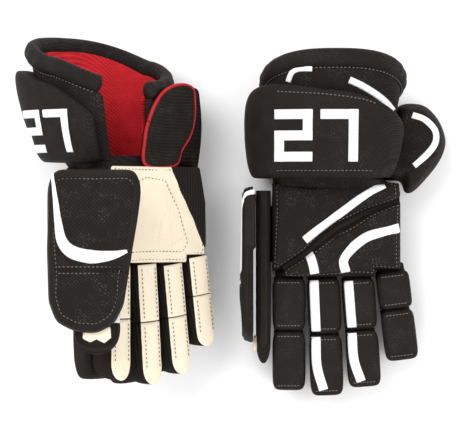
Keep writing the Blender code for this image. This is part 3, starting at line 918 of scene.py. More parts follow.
CREASE_CLEAR = (0.0007, 0.0012)  # from the crease's middle to each pad, across and along
KNUCKLE_GAP = 0.0004
PAD_EDGE = 0.0055
PAD_CENTRES = {"lower": (0.022, 0.018), "upper": (-0.010, 0.047)}  # each sees its pad's whole outline
PAD_SEEDS = {"lower": 113, "upper": 122}
PAD_GROOVE = 0.0009
PAD_SEAM_INWARD = 0.0034
CHANNEL_HEIGHT = 0.0035  # of the channel's middle above the foot of the pads
CHANNEL_RADII = (0.0060, 0.0040)
GUSSET_HALF_DEPTH = 0.0020
GUSSET_Y = (0.0065, 0.0610)

# Outlines on the palm, as (x, y)
PALM_OUTLINE = [
    (THUMB_EDGE, KNUCKLE_GAP), (STEP_X, KNUCKLE_GAP), (STEP_X, STEP_Y), (LITTLE_EDGE, STEP_Y),
    (LITTLE_EDGE, 0.0380), (LITTLE_EDGE - 0.006, HAND_LENGTH), (THUMB_EDGE + 0.004, HAND_LENGTH),
    (THUMB_EDGE, 0.0455), (THUMB_EDGE, 0.0135),
]
PATCH_OUTLINE = [
    (-0.030, 0.006), (0.030, 0.006), (0.0350, 0.012), (0.0270, 0.036), (0.0140, 0.056), (-0.004, 0.058),
    (-0.022, 0.050),
]
HEEL_OUTLINE = [
    (0.0505, 0.0080), (0.0505, 0.0400), (0.0450, 0.0636),
    (0.0190, 0.0636), (0.0270, 0.0480), (0.0400, 0.0270),
]
PALM_STITCH_SPACING = 0.0030


def pad_stripe(pad, axes, name, path, width, body):
    """A white stripe that follows a pad's face."""
    path = smooth_path(path, 60)
    piece = Piece(name, axes, "white_synthetic")
    piece.grid(ribbon(path, width, on_face(pad.height), lift=STRIPE_LIFT))
    piece.make(body, "black_nylon")


def seam_on(piece, pad, inward, spacing):
    """Stitches round a pad, a distance in from its outline."""
    line = pad.outline_at(inward, 240)
    line = np.concatenate([line, line[:1]])
    height = pad.height(line[:, 0], line[:, 1])
    stitches(piece, np.concatenate([line, height[:, None]], 1), (0, 0, 1), spacing)


def seam_along(piece, place, path, spacing, lift=0.0001):
    """Stitches along a path on a face. They stand on the face's normal, the cross product of its two
    slopes."""
    path = np.asarray(path, float)
    points = place(path[:, 0], path[:, 1], np.full(len(path), lift))
    ahead = place(path[:, 0] + 1e-4, path[:, 1], np.full(len(path), lift)) - points
    along = place(path[:, 0], path[:, 1] + 1e-4, np.full(len(path), lift)) - points
    normal = np.cross(ahead, along)
    normal /= np.linalg.norm(normal, axis=1, keepdims=True) + 1e-12
    stitches(piece, points, normal, spacing)


def backhand_outlines():
    """Outlines of the two pads on either side of the diagonal crease."""
    across, along = CREASE_CLEAR
    crease = CREASE_LINE[:-1]
    lower = [(THUMB_EDGE + 0.005, KNUCKLE_GAP), (STEP_X, KNUCKLE_GAP), (STEP_X, STEP_Y)]
    lower += [(LITTLE_EDGE, STEP_Y), (LITTLE_EDGE, 0.0508)]
    lower += [(x + across, y - along) for x, y in reversed(crease)]
    upper = [(THUMB_EDGE, 0.0034)] + [(x - across, y + along) for x, y in crease]
    upper += [(LITTLE_EDGE, 0.0532), (LITTLE_EDGE - 0.001, HAND_LENGTH), (THUMB_EDGE, HAND_LENGTH)]
    return {"lower": lower, "upper": upper}


def make_backhand(side, axes, body, sizes):
    """The two pads with their stripes and stitches, and the channel between them."""
    low, high = box_in(axes, f"{side}_backhand_pad_upper")
    base = low[2]
    thick = high[2] - low[2] - sizes.pad_crown * 0.6
    pads = {}
    for name, outline in backhand_outlines().items():
        centre = PAD_CENTRES[name]
        pad = Pad(outline, base, thick, PAD_EDGE, sizes.pad_crown, PAD_GROOVE, corner=3, centre=centre)
        pads[name] = pad
        piece = Piece(f"{side}_pad_{name}", axes, "pad_nylon")
        piece.grid(pad.grid(around=240, rings=40, rough=0.0007, seed=PAD_SEEDS[name]))
        piece.make(body, "black_nylon", (f"{side}_backhand_pad_{name}",), padded=0.8)
    for pad, name, path, wider in (
        ("upper", "stripe_upper", UPPER_STRIPE, 1.0),
        ("lower", "stripe_upper_end", UPPER_STRIPE_END, 1.1),
        ("lower", "stripe_lower", LOWER_STRIPE, 1.15),
    ):
        pad_stripe(pads[pad], axes, f"{side}_{name}", path, sizes.stripe_width * wider, body)

    channel = Piece(f"{side}_pad_channel", axes, "binding")
    path = np.concatenate([smooth_path(CREASE_LINE, 60), np.full((60, 1), base + CHANNEL_HEIGHT)], 1)
    channel.grid(tube(path, *CHANNEL_RADII, (0, 0, 1), 16))
    channel.make(body, "black_nylon")
    seams = Piece(f"{side}_pad_seams", axes, "pale_thread")
    for pad in pads.values():
        seam_on(seams, pad, PAD_SEAM_INWARD, sizes.stitch_spacing)
    seams.make(body, "black_nylon")
    return base


def make_liner(side, axes, body, pads_foot):
    """The knit tube round the hand, and a padded gusset on each side between palm and pads."""
    low, high = box_in(axes, f"{side}_hand_liner")
    knit = Piece(f"{side}_knit_liner", axes, "black_knit")
    ranges = ((low[0], high[0]), (low[2], high[2]), (low[1], high[1]))
    knit.grid(sleeve_grid(*ranges, 0.0025, 0.0050, rough=0.0002))
    knit.make(body, "black_knit", (f"{side}_hand_liner",))
    for edge, name in ((LITTLE_EDGE - 0.0022, "little"), (THUMB_EDGE + 0.0022, "thumb")):
        wall = Piece(f"{side}_gusset_{name}_side", axes, "pad_nylon")
        low = (edge - GUSSET_HALF_DEPTH, GUSSET_Y[0], 0.0022)
        high = (edge + GUSSET_HALF_DEPTH, GUSSET_Y[1], pads_foot + 0.004)
        wall.grid(pillow(low, high, 0.3, around=28, rows=24))
        wall.make(body, "black_nylon", padded=0.8)


def make_palm(side, axes, body):
    """The palm leather, its second layer and the knit heel beside it. They are worked out as seen from
    the palm's outside, with z turned round."""
    under = axes.seen((0, 1, 2), (1, 1, -1))
    palm = Pad(PALM_OUTLINE, -0.0022, 0.0017, 0.0012, 0.0003, corner=2)
    leather = Piece(f"{side}_palm", under, "cream_leather")
    leather.grid(palm.grid(around=220, rings=44, rough=0.0007, seed=11))
    leather.make(body, "cream_leather", (f"{side}_palm_leather",))
    patch = Pad(PATCH_OUTLINE, -0.0015, 0.0015, 0.0010, 0.0002, corner=12)
    second = Piece(f"{side}_palm_patch", under, "cream_leather")
    second.grid(patch.grid(around=160, rings=26, rough=0.0004, seed=12))
    second.make(body, "cream_leather")
    heel = Pad(HEEL_OUTLINE, -0.0017, 0.0019, 0.0012, 0.0003, corner=6)
    side_panel = Piece(f"{side}_palm_side_panel", under, "black_knit")
    side_panel.grid(heel.grid(around=140, rings=22, rough=0.0003, seed=13))
    side_panel.make(body, "black_knit")
    rows = Piece(f"{side}_palm_stitches", under, "dark_thread")
    seam_on(rows, palm, 0.0022, PALM_STITCH_SPACING)
    seam_on(rows, patch, 0.0018, PALM_STITCH_SPACING)
    rows.make(body, "cream_leather")


def make_hand(side, sizes):
    """Every piece of one glove that rides on the hand."""
    axes = glove_axes(side)
    body = f"{side}_hand"
    pads_foot = make_backhand(side, axes, body, sizes)
    make_liner(side, axes, body, pads_foot)
    make_palm(side, axes, body)


# ---------------------------------------------------------------- fingers

ROLL_WIDER = (0.0007, 0, 0)  # the cloth stands proud of the solid, so that neighbouring rolls all but touch
ROLL_SQUARE = 0.33
ROLL_SIDE_SQUARE = 0.43
TIP_SLOPE = 0.30
TIP_FOOT = 0.3  # height below the middle, as a share, from which the tip slopes
LEATHER_UP_TO = -0.74  # height round the sleeve, from -1 to 1, where its leather gives way to knit
HEM_INWARD = 0.0032
HEM_SPACING = 0.0022
STRIPED_FINGERS = ("middle", "ring")
FINGER_STRIPE_INWARD = 0.0046
FINGER_STRIPE_WIDTH = 0.0062
CREASE_X = (-0.0088, 0.0088)
CREASE_Z = (0.0026, 0.0330)
CREASE_REACH = 0.0050


def make_crease(name, axes, bodies):
    """A knit band inside a bending crease, baked in place between the pieces on each side of it."""
    band = Piece(name, axes, "black_knit")
    low = (CREASE_X[0], -CREASE_REACH, CREASE_Z[0])
    high = (CREASE_X[1], CREASE_REACH, CREASE_Z[1])
    band.grid(pillow(low, high, 0.30, around=32, rows=28))
    band.make(bodies[1], "black_knit", blend=(bodies[0], (0, CREASE_REACH, 0), (0, -CREASE_REACH, 0)))


def roll_top(low, high, swell, slope):
    """The top face of a finger's roll, from the same squared block as pillow()."""
    middle = (low + high) / 2
    half = (high - low) / 2

    def place(x, y, lift):
        across = np.clip(np.abs((x - middle[0]) / half[0]), 0, 0.995)
        along = np.clip((y - middle[1]) / half[1], -0.995, 0.995)
        ring = (1 - np.abs(along) ** (2 / ROLL_SQUARE)) ** (ROLL_SQUARE / 2)
        share = np.clip(across / ring, 0, 0.995)
        top = ring * (1 - share ** (2 / ROLL_SIDE_SQUARE)) ** (ROLL_SIDE_SQUARE / 2)
        top = top + swell * (1 - along**2) * (1 - across**2)
        top = top - (top + TIP_FOOT) / (1 + TIP_FOOT) * slope * 2 * np.clip(-along, 0, 1) ** 1.5
        return np.stack([x, y, middle[2] + half[2] * top + lift], -1)

    return place


def finger_roll(body, axes, sizes, tip, striped):
    """The padded roll of one finger half, with a row of stitches at each end and its white stripe."""
    low, high = box_in(axes, f"{body}_roll")
    low = low - ROLL_WIDER
    high = high + ROLL_WIDER
    slope = TIP_SLOPE if tip else 0.0
    roll = Piece(f"{body}_padding", axes, "roll_nylon")
    roll.grid(pillow(low, high, ROLL_SQUARE, slope, sizes.roll_swell, 56, 44))
    roll.make(body, "roll_nylon", (f"{body}_roll",), padded=0.8)

    face = roll_top(low, high, sizes.roll_swell, slope)
    seams = Piece(f"{body}_hems", axes, "pale_thread")
    for end in (high[1] - HEM_INWARD, low[1] + HEM_INWARD):
        line = np.linspace((low[0] + 0.0030, end), (high[0] - 0.0030, end), 24)
        seam_along(seams, face, line, HEM_SPACING)
    seams.make(body, "roll_nylon")
    if striped:
        x = low[0] + FINGER_STRIPE_INWARD
        run = [(x, high[1] - 0.0012), (x, (low[1] + high[1]) / 2), (x + 0.0002, low[1] + 0.0018)]
        if tip:
            run[-1] = (x + 0.0040, low[1] + 0.0040)
        stripe = Piece(f"{body}_stripe", axes, "white_synthetic")
        stripe.grid(ribbon(smooth_path(run, 40), FINGER_STRIPE_WIDTH, face, lift=0.0006, sink=0.0016))
        stripe.make(body, "roll_nylon")


def finger_piece(side, finger, part, axes, sizes):
    """One finger half: its sleeve, of leather below and knit above, its roll and its palm stitches."""
    body = f"{side}_{finger}_{part}"
    low, high = box_in(axes, f"{body}_sleeve")
    tip = part == "tip"
    seed = FINGERS.index(finger) * 2 + tip
    sleeve = Piece(f"{body}_leather", axes, "cream_leather", "black_knit")
    ranges = ((low[0], high[0]), (low[2], high[2]), (high[1], low[1]))
    points = sleeve_grid(*ranges, 0.0020, 0.0050, tip, 26, 0.0003, seed)
    rows, columns = points.shape[:2]
    knit = np.sin((np.arange(columns) + 0.5) * 2 * math.pi / columns) > LEATHER_UP_TO
    sleeve.grid(points, finish=np.tile(knit.astype(int), rows - 1))
    sleeve.make(body, "cream_leather", (f"{body}_sleeve",))

    finger_roll(body, axes, sizes, tip, finger in STRIPED_FINGERS)

    rows = Piece(f"{body}_leather_stitches", axes, "dark_thread")
    far = low[1] + (0.30 * (high[1] - low[1]) if tip else 0.002)
    for x in (low[0] + 0.0042, high[0] - 0.0042):
        path = np.linspace((x, high[1] - 0.002, low[2] - 0.0001), (x, far, low[2] - 0.0001), 30)
        stitches(rows, path, (0, 0, -1), 0.0028)
    rows.make(body, "cream_leather")


def make_fingers(side, sizes):
    """The two halves of each finger of one glove, and the creases at its knuckle and its middle."""
    for finger in FINGERS:
        base_axes = finger_axes(side, f"{finger}_knuckle_flex")
        tip_axes = finger_axes(side, f"{finger}_middle_flex")
        finger_piece(side, finger, "base", base_axes, sizes)
        finger_piece(side, finger, "tip", tip_axes, sizes)
        bodies = (f"{side}_hand", f"{side}_{finger}_base", f"{side}_{finger}_tip")
        make_crease(f"{side}_{finger}_knuckle_crease", base_axes, bodies[:2])
        make_crease(f"{side}_{finger}_middle_crease", tip_axes, bodies[1:])


# ---------------------------------------------------------------- thumb

# Lines on the guard's outer face, as (z, y)
GUARD_LINE = [
    (0.0005, 0.0605), (0.0035, 0.0300), (0.0065, 0.0050), (0.0115, -0.0260), (0.0175, -0.0380),
    (0.0285, -0.0440), (0.0425, -0.0430), (0.0545, -0.0370), (0.0595, -0.0240), (0.0605, 0.0100),
    (0.0585, 0.0605),
]
GUARD_STRIPE = [
    (0.0570, 0.0585), (0.0550, 0.0430), (0.0530, 0.0270), (0.0505, 0.0150), (0.0440, 0.0080),
    (0.0320, 0.0050), (0.0190, 0.0058), (0.0090, 0.0085),
]
GUARD_STRIPE_WIDTHS = [0.0020, 0.0034, 0.0050, 0.0068, 0.0084, 0.0088, 0.0062, 0.0024]
GUARD_CREASE_Y = -0.0035
GUARD_CREASE_NARROW = 0.0011
GUARD_CREASE_SEAMS = (-0.0015, -0.0056)
THUMB_TIP_OUTLINE = [
    (0.0200, -0.0400), (0.0370, -0.0390), (0.0380, -0.0475), (0.0330, -0.0500), (0.0290, -0.0480),
    (0.0240, -0.0505), (0.0195, -0.0470),
]
TUBE_INNER_X = THUMB_EDGE - 0.0008
TUBE_DEPTH = 0.0100
TUBE_Z = (0.0140, 0.0440)
WEB_Y = (0.0100, 0.0480)
WEB_HALF_THICK = 0.0008
WEB_SAG = (-0.0035, 0, -0.0015)
WEB_SLACK = {"left": 1.0, "right": 0.3}  # slack by the open thumb, drawn nearly flat by the closed one


def make_guard(side, axes, body, sizes):
    """The guard with its cross crease, binding, tapering stripe and stitches, seen from outside."""
    low, high = box_in(axes, f"{side}_thumb_guard")
    guard = Pad(GUARD_LINE, low[2], high[2] - low[2] - 0.0008, 0.0050, 0.0024, seam=0.0007, corner=28)
    piece = Piece(f"{side}_guard", axes, "pad_nylon")
    points = guard.grid(around=260, rings=48, rough=0.0006, seed=21)
    from_crease = (points[..., 1] - GUARD_CREASE_Y) / GUARD_CREASE_NARROW
    groove = np.exp(-(from_crease**2)) * GUARD_CREASE_NARROW
    points[..., 2] -= groove * (points[..., 2] > low[2] + 0.004)
    piece.grid(points)
    piece.make(body, "black_nylon", (f"{side}_thumb_guard",), padded=0.8)

    face = on_face(guard.height)
    around = guard.outline_at(0.0030, 220)
    around = np.concatenate([around, around[:3]])
    binding = Piece(f"{side}_guard_binding", axes, "binding")
    binding.grid(ribbon(around, 0.0046, face, lift=0.0007, sink=0.0016))
    binding.make(body, "black_nylon")
    stripe = Piece(f"{side}_guard_stripe", axes, "white_synthetic")
    path = smooth_path(GUARD_STRIPE, 80)
    places = np.linspace(0, 1, len(GUARD_STRIPE))
    widths = np.interp(np.linspace(0, 1, 80), places, GUARD_STRIPE_WIDTHS)
    stripe.grid(ribbon(path, widths, face, lift=0.0010))
    stripe.make(body, "black_nylon")
    seams = Piece(f"{side}_guard_seams", axes, "pale_thread")
    seam_on(seams, guard, 0.0060, sizes.stitch_spacing)
    for y in GUARD_CREASE_SEAMS:
        seam_along(seams, face, np.linspace((0.0130, y), (0.0530, y), 40), sizes.stitch_spacing)
    seams.make(body, "black_nylon")


def make_web(side, axes, body):
    """The web from the palm's edge to the root of the thumb: straight lines between the two, bowed by
    a parabola, with a thin wall."""
    glove = glove_axes(side)
    along = np.linspace(*WEB_Y, 18)
    palm_edge = np.stack([np.full(18, -0.0335), along, np.full(18, 0.0010)], -1)
    root = np.stack([np.full(18, TUBE_INNER_X - 0.0015), along, np.full(18, 0.0175)], -1)
    root = glove.local(axes.world(root))
    share = np.linspace(0, 1, 14)[:, None]
    sag = np.array(WEB_SAG) * WEB_SLACK[side]
    loops = []
    for a, b in zip(palm_edge, root):
        line = a + (b - a) * share + sag * 4 * share * (1 - share)
        way = (b - a) / np.linalg.norm(b - a)
        normal = np.array([way[2], 0, -way[0]]) * WEB_HALF_THICK
        loops.append(np.concatenate([line + normal, (line - normal)[::-1]]))
    web = Piece(f"{side}_thumb_web", glove, "black_knit")
    web.grid(capped(np.array(loops)))
    web.make(body, "black_knit", blend=(f"{side}_hand", palm_edge[9], root[9]))


def make_thumb(side, sizes):
    """The thumb of one glove: its guard, its knit tube, the leather on its tip and its web."""
    axes = thumb_axes(side)
    body = f"{side}_thumb"
    outside = axes.seen((2, 1, 0), (1, 1, -1))
    make_guard(side, outside, body, sizes)

    low, high = box_in(axes, f"{side}_thumb_sleeve")
    sleeve = Piece(f"{side}_thumb_tube", axes, "black_knit")
    ranges = ((TUBE_INNER_X - TUBE_DEPTH, TUBE_INNER_X), TUBE_Z, (high[1], low[1]))
    sleeve.grid(sleeve_grid(*ranges, 0.0018, 0.0045, True, 34, 0.0003, 5, kept=0.0, start=0.85))
    sleeve.make(body, "black_knit", (f"{side}_thumb_sleeve",))
    tip = Piece(f"{side}_thumb_tip_leather", outside, "cream_leather")
    tip.grid(Pad(THUMB_TIP_OUTLINE, 0.0462, 0.0022, 0.0012, corner=6).grid(around=60, rings=10, rough=0.0003))
    tip.make(body, "cream_leather")
    make_web(side, axes, body)


# ---------------------------------------------------------------- cuff

# Strokes of plain block digits on a square of unit width and double height
BARS = {
    "top": ((0, 2), (1, 2)), "middle": ((0, 1), (1, 1)), "bottom": ((0, 0), (1, 0)),
    "left_up": ((0, 1), (0, 2)), "right_up": ((1, 1), (1, 2)),
    "left_down": ((0, 0), (0, 1)), "right_down": ((1, 0), (1, 1)),
}
DIGITS = {
    "0": "top bottom left_up right_up left_down right_down",
    "1": "right_up right_down",
    "2": "top right_up middle left_down bottom",
    "3": "top right_up middle right_down bottom",
    "4": "left_up right_up middle right_down",
    "5": "top left_up middle right_down bottom",
    "6": "top left_up middle left_down right_down bottom",
    "7": "top right_up right_down",
    "8": "top middle bottom left_up right_up left_down right_down",
    "9": "top middle bottom left_up right_up right_down",
}
DIGIT_WIDE = 0.0185
DIGIT_TALL = 0.0138  # of half a digit
DIGIT_BAR = 0.0064
DIGIT_STEP = 0.0300
NUMBER_PLACE = {  # its lower left corner and its scale
    "left": ((-0.0320, CUFF_START + 0.0135), 1.0),
    "right": ((-0.0600, CUFF_START + 0.0085), 0.82),
}

# Lines on the back of the cuff, as (x, y), the seam's y counted from the cuff's foot
ROLL_FOOT_SEAM = ((-0.034, CUFF_START + 0.0045), (0.030, CUFF_START + 0.0045))
ROLL_FAR_SEAM_X = (-0.034, -0.005, 0.0133, 0.0233, 0.032)
ROLL_FAR_SEAM_Y = (0.0560, 0.0545, 0.0525, 0.0508, 0.0480)
LONG_STRIPE = [(0.0140, 0.1302), (0.0240, 0.1255), (0.0360, 0.1180), (0.0440, 0.1105)]
HOOK_STRIPE = [(-0.0262, 0.1290), (-0.0238, 0.1348), (-0.0195, 0.1372), (-0.0105, 0.1374)]
LONG_STRIPE_WIDTH = 0.0046
HOOK_STRIPE_WIDTH = 0.0036

LINING_THICK = 0.0012
RIM_MIDDLE = 0.0054  # beyond the shell's mouth
RIM_RADII = (0.0050, 0.0062)

# Side panel: y where it meets the shell, then (y, share of its reach) round its free edge, then a stripe
WING_ROOT_Y = (0.068, 0.092, 0.114)
WING_FREE_EDGE = (
    (0.1165, 0.45), (0.1085, 0.80), (0.0960, 1.0), (0.0860, 1.0),
    (0.0740, 0.80), (0.0585, 0.34), (0.0570, 0.12),
)
WING_FOOT_Y = 0.0642
WING_STRIPE = [
    (0.0575, 0.1085), (0.0655, 0.1055), (0.0725, 0.0985),
    (0.0730, 0.0905), (0.0680, 0.0830), (0.0585, 0.0745),
]
FLAP_OUTLINE = [
    (-0.002, 0.0642), (0.024, 0.0642), (0.030, 0.074), (0.038, 0.084), (0.042, 0.096), (0.042, 0.112),
    (0.038, 0.1175), (0.026, 0.118), (0.014, 0.113), (0.006, 0.104), (0.000, 0.092), (-0.003, 0.080),
]
PIPING_RADIUS = 0.0011
PIPING_HEIGHT = -0.0022

# Gaiter: an oblong inside the hand, drawn over to the shell's own section
GAITER_X = (THUMB_EDGE + 0.002, LITTLE_EDGE + 0.0006)
GAITER_Z = (0.0030, 0.0440)
GAITER_Y = (0.0560, CUFF_START + 0.004)
GAITER_BEND = ((0.007, 0.0580, 0.02), (0.007, CUFF_START + 0.002, 0.02))


def number_strokes(number, corner, scale):
    """Ends of every stroke of a number, from its lower left corner, in the plane."""
    strokes = []
    for place, digit in enumerate(str(number)):
        start = np.array(corner) + (place * DIGIT_STEP * scale, 0)
        for bar in DIGITS[digit].split():
            a, b = (start + np.array(end) * (DIGIT_WIDE * scale, DIGIT_TALL * scale) for end in BARS[bar])
            reach = (b - a) / np.linalg.norm(b - a) * DIGIT_BAR * scale / 2
            strokes.append((a - reach, b + reach))
    return strokes


def make_shell(side, axes, body, cuff, sizes):
    """The padded wall, its red lining and the rim round its mouth, with a row of stitches under it."""
    angles = np.linspace(CUFF_SLIT[1] - 360, CUFF_SLIT[0], 150)
    shell = Piece(f"{side}_shell", axes, "pad_nylon")
    shell.grid(cuff.slab(angles, CUFF_START, mouth_y, (-CUFF_WALL, 0.0), 0.45, taper=3.0))
    shell.make(body, "black_nylon", (f"{side}_cuff_shell",), padded=0.7)

    lining = Piece(f"{side}_lining", axes, "red_lining")
    inset = -CUFF_WALL - 0.0003
    wall = (inset - LINING_THICK, inset)
    points = cuff.slab(angles, CUFF_START + 0.001, lambda a: mouth_y(a) + 0.0020, wall, 0.5, taper=2.0)
    points += 0.0005 * waves(points, 0.03, 31)[..., None]
    lining.grid(points)
    lining.make(body, "red_lining", (f"{side}_cuff_lining",))

    rim = Piece(f"{side}_rim", axes, "roll_nylon")
    path = cuff.point(angles, mouth_y(angles) + RIM_MIDDLE, np.full(len(angles), -CUFF_WALL / 2))
    end = np.clip(np.minimum(angles - angles[0], angles[-1] - angles) / 4, 0.03, 1)
    fat = np.sqrt(1 - (1 - end) ** 2)
    puff = 1 + 0.05 * np.sin(np.radians(angles) * 26)
    rim.grid(tube(path, RIM_RADII[0] * fat * puff, RIM_RADII[1] * fat, (0, 1, 0), 22))
    rim.make(body, "roll_nylon", (f"{side}_cuff_rim",), padded=0.8)

    hem = Piece(f"{side}_rim_stitches", axes, "pale_thread")
    path = cuff.point(angles, mouth_y(angles) - 0.0012, np.full(len(angles), 0.0001))
    outward = np.gradient(path, axis=0)[:, [2, 1, 0]] * (1, 0, -1)
    stitches(hem, path[4:-4], outward[4:-4], sizes.stitch_spacing)
    hem.make(body, "black_nylon")


def make_roll(side, axes, body, cuff, sizes):
    """The big roll over the wrist, flat where it lies on the floor, with two seams and the number."""
    angles = np.linspace(*ROLL_SPAN, 150)
    wall = (0.0003, 0.0003 + ROLL_THICK)
    points = cuff.slab(angles, CUFF_START, roll_end_y, wall, 0.4, 64, 9.0, ROLL_CROWN)
    resting = axes.world(points)
    resting[..., 2] = np.maximum(resting[..., 2], 0.0)
    roll = Piece(f"{side}_roll", axes, "roll_nylon")
    roll.grid(axes.local(resting))
    roll.make(body, "roll_nylon", (f"{side}_cuff_roll",), padded=0.9)

    back = cuff.back(roll_out)
    seams = Piece(f"{side}_roll_seams", axes, "pale_thread")
    seam_along(seams, back, np.linspace(*ROLL_FOOT_SEAM, 80), sizes.stitch_spacing)
    x = np.linspace(ROLL_FAR_SEAM_X[0], ROLL_FAR_SEAM_X[-1], 60)
    far = CUFF_START + np.interp(x, ROLL_FAR_SEAM_X, ROLL_FAR_SEAM_Y)
    seam_along(seams, back, np.stack([x, far], -1), sizes.stitch_spacing)
    seams.make(body, "roll_nylon")

    number = Piece(f"{side}_number", axes, "white_synthetic")
    face = back if side == "left" else cuff.thumb_side(roll_out)
    corner, scale = NUMBER_PLACE[side]
    for a, b in number_strokes(sizes.number, corner, scale):
        number.grid(ribbon(np.linspace(a, b, 16), DIGIT_BAR * scale, face, lift=0.0008))
    number.make(body, "roll_nylon")


def make_marks(side, axes, body, cuff):
    """The white stripes on the back of the shell."""
    skin = cuff.back(lambda y, angle: np.zeros_like(y))
    marks = Piece(f"{side}_cuff_stripes", axes, "white_synthetic")
    for path, width in ((LONG_STRIPE, LONG_STRIPE_WIDTH), (HOOK_STRIPE, HOOK_STRIPE_WIDTH)):
        marks.grid(ribbon(smooth_path(path, 40), width, skin, lift=STRIPE_LIFT))
    marks.make(body, "black_nylon")


def make_side_panel(side, axes, body, cuff):
    """The padded panel on the little finger side; only the wide one of the left-hand glove is striped."""
    low, high = box_in(axes, f"{side}_cuff_side_panel")
    start = LITTLE_EDGE + 0.0008
    outline = [(cuff.point(0, y, 0.0006)[0], y) for y in WING_ROOT_Y]
    outline += [(start + WING_REACH[side] * share, y) for y, share in WING_FREE_EDGE]
    outline += [(start, WING_FOOT_Y)]
    thick = high[2] - low[2] - 0.0010
    wing = Pad(outline, low[2], thick, 0.0095, 0.0012, seam=0.0006, corner=10, curved=True)
    panel = Piece(f"{side}_side_panel", axes, "pad_nylon")
    panel.grid(wing.grid(around=200, rings=34, rough=0.0005, seed=41))
    panel.make(body, "black_nylon", (f"{side}_cuff_side_panel",), padded=0.7)
    if side == "left":
        stripe = Piece(f"{side}_side_panel_stripe", axes, "white_synthetic")
        stripe.grid(ribbon(smooth_path(WING_STRIPE, 60), 0.0044, on_face(wing.height), lift=0.0008))
        stripe.make(body, "black_nylon")


def make_flap(side, axes, body):
    """The flap on the palm side of the wrist, seen from outside, with red piping round it."""
    under = axes.seen((0, 1, 2), (1, 1, -1))
    flap = Pad(FLAP_OUTLINE, -0.0050, 0.0044, 0.0026, 0.0006, seam=0.0004, corner=8, curved=True)
    piece = Piece(f"{side}_flap", under, "roll_nylon")
    piece.grid(flap.grid(around=160, rings=26, rough=0.0004, seed=51))
    piece.make(body, "black_nylon", (f"{side}_wrist_flap",), padded=0.5)
    edge = flap.outline_at(0.0004, 160)
    edge = np.concatenate([edge, edge[:2]])
    path = np.concatenate([edge, np.full((len(edge), 1), PIPING_HEIGHT)], 1)
    piping = Piece(f"{side}_flap_piping", under, "red_piping")
    piping.grid(tube(path, PIPING_RADIUS, PIPING_RADIUS, (0, 0, 1), 12))
    piping.make(body, "red_lining")


def make_gaiter(side, axes, cuff):
    """A soft gaiter inside the wrist crease joins the hand to the cuff: rings that pass from the hand's
    oblong to the cuff's section by a smooth step, with a thin wall."""
    count = 72
    loop, centre = oblong(GAITER_X, GAITER_Z, 0.010, count)
    hand_loop = loop + centre
    turn = np.linspace(0, 360, count, endpoint=False)
    cuff_loop = cuff.point(turn, GAITER_Y[1], -CUFF_WALL / 2)[:, [0, 2]]
    rings = []
    for share in np.linspace(0, 1, 14):
        ring = hand_loop + (cuff_loop - hand_loop) * (3 * share**2 - 2 * share**3)
        rings.append(np.stack([ring[:, 0], np.full(count, mix(GAITER_Y, share)), ring[:, 1]], -1))
    rings = np.array(rings)
    middle = rings.mean(1, keepdims=True)
    inner = middle + (rings - middle) * 0.95
    gaiter = Piece(f"{side}_wrist_gaiter", axes, "pad_nylon")
    gaiter.grid(np.concatenate([rings, inner[::-1], rings[:1]]))
    gaiter.make(f"{side}_cuff", "black_nylon", blend=(f"{side}_hand", *GAITER_BEND))


def make_cuff(side, sizes):
    """The cuff of one glove."""
    axes = glove_axes(side)
    body = f"{side}_cuff"
    cuff = Cuff(side)
    make_shell(side, axes, body, cuff, sizes)
    make_roll(side, axes, body, cuff, sizes)
    make_marks(side, axes, body, cuff)
    make_side_panel(side, axes, body, cuff)
    make_flap(side, axes, body)
    make_gaiter(side, axes, cuff)


# ---------------------------------------------------------------- operators


def build_both(make, context):
    """Makes one group of pieces on both gloves, with the sizes of the scene."""
    for side in SIDES:
        make(side, context.scene.glove_sizes)
    return {"FINISHED"}


class GLOVES_OT_hand(bpy.types.Operator):
    """Model the backhand pads with their stripes, the knit liner and the palm leather"""

    bl_idname = "gloves.hand"
    bl_label = "Hand"

    def execute(self, context):
        return build_both(make_hand, context)


class GLOVES_OT_fingers(bpy.types.Operator):
    """Model each finger half: its leather, its padded roll and the crease beside it"""

    bl_idname = "gloves.fingers"
    bl_label = "Fingers"

    def execute(self, context):
        return build_both(make_fingers, context)


class GLOVES_OT_thumb(bpy.types.Operator):
    """Model the thumb: tube, guard, binding, stripe and web"""

    bl_idname = "gloves.thumb"
    bl_label = "Thumb"

    def execute(self, context):
        return build_both(make_thumb, context)


class GLOVES_OT_cuff(bpy.types.Operator):
    """Model the cuff: shell, lining, rim, big roll, side panel, flap and gaiter"""

    bl_idname = "gloves.cuff"
    bl_label = "Cuff"

    def execute(self, context):
        return build_both(make_cuff, context)


# The stage: the floor just under the gloves, three soft lights and the camera straight above
FLOOR_HALF = 3.0
FLOOR_Z = -0.0006
FLOOR_SHADES = ((0.93, 0.93, 0.93, 1), (0.95, 0.95, 0.95, 1))
SKY_STRENGTH = 0.75
LIGHTS = (  # name, place, power in watts, width
    ("key", (-0.9, 0.9, 1.9), 34.0, 1.3),
    ("fill", (1.2, -0.3, 1.5), 16.0, 1.6),
    ("front", (-0.1, -1.4, 1.3), 9.0, 1.2),
)
CAMERA_OFFSET = (-0.002, -0.002)
CAMERA_DISTANCE = 1.9  # above the level that the view's width is counted at
VIEW_LEVEL = 0.05
VIEW_WIDTH = 0.3060
SENSOR_WIDTH = 36.0  # millimetres, Blender's own default


